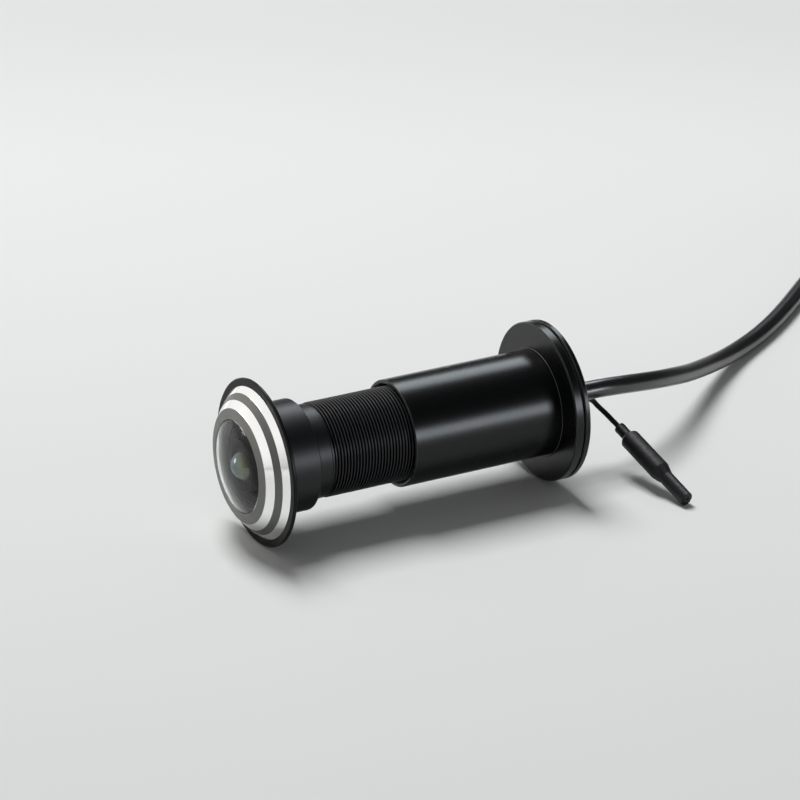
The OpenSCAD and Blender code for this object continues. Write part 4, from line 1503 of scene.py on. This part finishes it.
@dataclass
class Optics:
    """What shows through the dome: the stepped hood, the lens tube and its first lens; and what is behind."""

    hood_x: float = -1.9
    hood_rim_r: float = 7.6
    hood_mouth_r: float = 6.45
    hood_rim_x: float = -1.15
    throat_x: float = 0.15
    throat_r: float = 4.25
    hood_wall: float = 0.6
    hood_steps: int = 6
    hood_lip: float = 0.05
    tube_x: float = -2.85
    tube_end_x: float = 5.2
    tube_r: float = 4.0
    tube_edge: float = 0.25
    lens_bore_r: float = 3.25
    rear_bore_r: float = 2.95
    stop_r: float = 2.2
    seat_l: float = 1.3
    lens_r: float = 3.2
    lens_rim_t: float = 0.7
    lens_sag: float = 1.9
    bulge_r: float = 2.3
    lens_hollow: Range = (2.1, 1.15)
    lens_steps: tuple[int, int] = (24, 20)
    keeper_l: float = 0.55
    keeper_steps: int = 4
    keeper_gap: float = 0.15
    keeper_lip: float = 0.08
    undercut: float = 0.04

    def stair(self, low: Range, high: Range, steps: int) -> list[Range]:
        """List small steps from one place of a section to another, which trap stray light.

        Args:
            low: First place, as (x, radius).
            high: Last place, as (x, radius).
            steps: Number of steps.

        Returns:
            Points as (x, radius).
        """
        corners = []
        for i in range(steps):
            x1, r1 = (a + (b - a) * i / steps for a, b in zip(low, high))
            x2 = low[0] + (high[0] - low[0]) * (i + 1) / steps
            corners += [(x1, r1), (x2 + self.undercut, r1)]
        return corners

    def hood(self) -> Turning:
        """Give the hood's section, with small steps down its cone."""
        low, high = (self.throat_x - self.hood_wall, self.throat_r), (self.hood_x, self.hood_mouth_r)
        return turned(
            (self.hood_x, self.hood_mouth_r, 0.05), (self.hood_x, self.hood_rim_r),
            (self.hood_rim_x, self.hood_rim_r), (self.hood_rim_x, self.hood_mouth_r + self.hood_lip),
            (self.throat_x, self.throat_r), *self.stair(low, high, self.hood_steps),
        )

    def tube(self) -> Turning:
        """Give the lens tube's section, with the stepped keeper around the first lens."""
        front, back, edge = self.tube_x, self.tube_end_x, self.tube_edge
        keeper, hole = front + self.keeper_l, self.bulge_r + self.keeper_gap
        return turned(
            (front, self.lens_bore_r, 0.06), (front, self.tube_r - edge, 0.05),
            (front + edge, self.tube_r, 0.05), (back, self.tube_r), (back, self.rear_bore_r),
            (back - self.seat_l, self.rear_bore_r), (back - self.seat_l, self.stop_r),
            (front + self.seat_l, self.stop_r, 0.05), (front + self.seat_l, self.lens_bore_r),
            (keeper, self.lens_bore_r), (keeper, hole),
            *self.stair((keeper - self.keeper_lip, hole), (front, self.lens_bore_r), self.keeper_steps),
        )

    def first_lens(self) -> Turning:
        """Give the first lens's section: a steep bulge on a flat rim, hollow behind."""
        rear = self.tube_x + self.seat_l
        face = rear - self.lens_rim_t
        outside, inside = self.lens_steps
        bulge = round_cap(face, self.bulge_r, self.lens_sag, outside, True)
        hollow = round_cap(rear, *self.lens_hollow, inside, False)
        return turned(*bulge, (face, self.lens_r), (rear, self.lens_r), *hollow)

    def build(self) -> None:
        """Make the pieces that show, and dress the rest."""
        publish_turnings(
            Body.CAMERA, (self.hood(), "stepped_lens_hood", OPTICAL_BLACK, "lens_hood"),
            (self.tube(), "lens_tube_turning", OPTICAL_BLACK, "lens_tube"),
            (self.first_lens(), "first_lens", LENS_ELEMENT, "front_lens"),
        )
        dress_nodes(BLACK_RUBBER, "glass_seal")
        dress_nodes(LENS_ELEMENT, "rear_lens")
        dress_nodes(FILTER_GLASS, "ir_cut_filter")
        dress_nodes(OPTICAL_BLACK, "lens_holder")


@dataclass
class Barrel:
    """Hub, neck and threaded tube, turned from one bar."""

    bore_r: float = 6.0
    front_bore_r: float = 6.9
    step_x: float = 3.6
    spigot_x: float = -1.15
    nose_r: float = 7.9
    collar_r: float = 8.8
    collar_depth: float = 0.15
    hub_r: float = 8.3
    hub_l: float = 6.1
    chamfer: float = 0.15
    neck_r: float = 7.0
    thread_x: float = 8.6
    end_x: float = 29.6
    root_r: float = 6.8
    thread_r: float = 7.1
    pitch: float = 0.5
    runout: float = 0.35
    fade_turns: float = 0.5
    neck_slope: float = 0.1
    ridge_foot: float = 0.06
    ridge_flank: tuple[Range, ...] = ((0.0, 0.45), (0.85, 0.11), (0.97, 0.08), (1.0, 0.05))

    def core(self) -> Turning:
        """Give the section of the barrel without its thread."""
        return turned(
            (self.step_x, self.bore_r), (self.step_x, self.front_bore_r), (self.spigot_x, self.front_bore_r),
            (self.spigot_x, self.nose_r), (-self.collar_depth, self.nose_r),
            (-self.collar_depth, self.collar_r), (0.0, self.collar_r), (0.0, self.hub_r),
            (self.hub_l - self.chamfer, self.hub_r, 0.1), (self.hub_l, self.hub_r - self.chamfer, 0.05),
            (self.hub_l, self.neck_r), (self.thread_x - self.neck_slope, self.neck_r, 0.06),
            (self.thread_x + self.neck_slope, self.root_r), (self.end_x, self.root_r, 0.1),
            (self.end_x, self.bore_r),
        )

    def ridge(self) -> Mesh:
        """Draw the thread's ridge in section, as a closed line in the XY plane with its crest towards -X."""
        depth, pitch = self.thread_r - self.root_r, self.pitch
        shape = [(height * depth, half) for height, half in self.ridge_flank]
        shape.insert(0, (-self.ridge_foot, shape[0][1]))
        shape = [(out, -half) for out, half in shape] + list(reversed(shape))
        points = [(-out * MM, half * pitch * MM, 0.0) for out, half in shape]
        mesh = bpy.data.meshes.new("thread_ridge")
        mesh.from_pydata(points, [(i, (i + 1) % len(points)) for i in range(len(points))], [])
        return mesh

    def build(self) -> None:
        """Turn the core and wind the thread onto it."""
        length = self.end_x - self.thread_x - 2 * self.runout
        turns = length / self.pitch
        named = {
            "Start": (self.thread_x + self.runout) * MM,
            "Root radius": self.root_r * MM,
            "Length": length * MM,
            "Turns": turns,
            "Fade": self.fade_turns / turns,
            "Material": BLACK_THREAD.material(),
        }
        publish_turnings(Body.CAMERA, (self.core(), "barrel_turning", BLACK_BARREL, "barrel"))
        wound = modified(self.ridge(), "NODES", node_group=thread_tree(), named=named)
        publish(wound, "barrel_thread", Body.CAMERA, BLACK_THREAD)


@dataclass
class ClampSleeve:
    """Sleeve that screws onto the barrel from behind the door, with its flange."""

    start_x: float = 21.6
    end_x: float = 46.2
    bore_r: float = 7.16
    relief_r: float = 7.35
    sleeve_r: float = 8.05
    grip_l: float = 10.0
    mouth: float = 0.4
    chamfer: float = 0.15
    foot_r: float = 8.35
    foot_h: float = 0.25
    flange_r: float = 12.1
    flange_t: float = 1.4
    web_bore_r: float = 6.06
    web_inset: float = 0.1

    def section(self) -> Turning:
        """Give the sleeve's section."""
        a, b, c = self.start_x, self.end_x, self.chamfer
        back, web, grip = b + self.flange_t, b + self.web_inset, a + self.grip_l
        return turned(
            (a, self.bore_r + self.mouth, 0.05), (a, self.sleeve_r - c, 0.05), (a + c, self.sleeve_r, 0.08),
            (b - self.foot_h, self.sleeve_r), (b - self.foot_h, self.foot_r, 0.08), (b, self.foot_r),
            *chamfered_rim(b, back, self.flange_r, c), (back, self.web_bore_r), (web, self.web_bore_r),
            (web, self.relief_r), (grip, self.relief_r), (grip, self.bore_r), (a + self.mouth, self.bore_r),
        )

    def build(self) -> None:
        """Turn the sleeve."""
        piece = (self.section(), "clamp_sleeve_turning", BLACK_ANODISED, "clamp_sleeve")
        publish_turnings(Body.SLEEVE, piece)


@dataclass
class RearCap:
    """Cap that swivels on the sleeve's flange, with its grommet, clip and washer."""

    front_x: float = 45.25
    disc_x: float = 47.84
    end_x: float = 48.69
    bore_r: float = 4.82
    spigot_r: float = 6.0
    clip_x: float = 45.65
    clip_end_x: float = 46.15
    groove_r: float = 5.5
    disc_r: float = 12.1
    chamfer: float = 0.15

    def section(self) -> Turning:
        """Give the cap's section."""
        return turned(
            (self.front_x, self.bore_r), (self.front_x, self.spigot_r), (self.clip_x, self.spigot_r),
            (self.clip_x, self.groove_r), (self.clip_end_x, self.groove_r), (self.clip_end_x, self.spigot_r),
            (self.disc_x, self.spigot_r), *chamfered_rim(self.disc_x, self.end_x, self.disc_r, self.chamfer),
            (self.end_x, self.bore_r),
        )

    def build(self) -> None:
        """Turn the cap and dress what it holds."""
        publish_turnings(Body.REAR_CAP, (self.section(), "rear_cap_turning", BLACK_ANODISED, "rear_cap"))
        dress_nodes(BLACK_RUBBER, "cap_grommet")
        dress_nodes(BRIGHT_STEEL, "cap_clip")
        dress_nodes(WHITE_PLASTIC, "swivel_washer")


class Electronics:
    """Boards and parts inside the barrel, which show only when it is taken apart."""

    def build(self) -> None:
        """Dress each part."""
        dress_nodes(CHIP_EPOXY, "image_sensor", "processor", "flash_memory", "power_inductor")
        dress_nodes(CIRCUIT_BOARD, "sensor_board", "main_board")
        dress_nodes(BRIGHT_STEEL, "sensor_board_screws", "wifi_module")
        dress_nodes(WHITE_PLASTIC, "board_link", "power_connector")
        dress_nodes(GILT_BRASS, "antenna_socket", "antenna_plug")
        dress_nodes(BLACK_RUBBER, "tail_plug")
        dress_nodes(RED_PLASTIC, "power_leads")


def main() -> None:
    """Build the studio, the cords and then the camera from front to back."""
    logging.basicConfig(level=logging.INFO, format="%(message)s")
    studio = Studio()
    studio.set_camera()
    cord = PowerCord()
    cord.build(PowerPlug(cord.plug_at).build())
    AntennaLead().build()
    for assembly in (FrontCrown, Optics, Barrel, Electronics, ClampSleeve, RearCap):
        assembly().build()
    studio.lay_floor()
    studio.light()


if __name__ == "__main__":
    main()
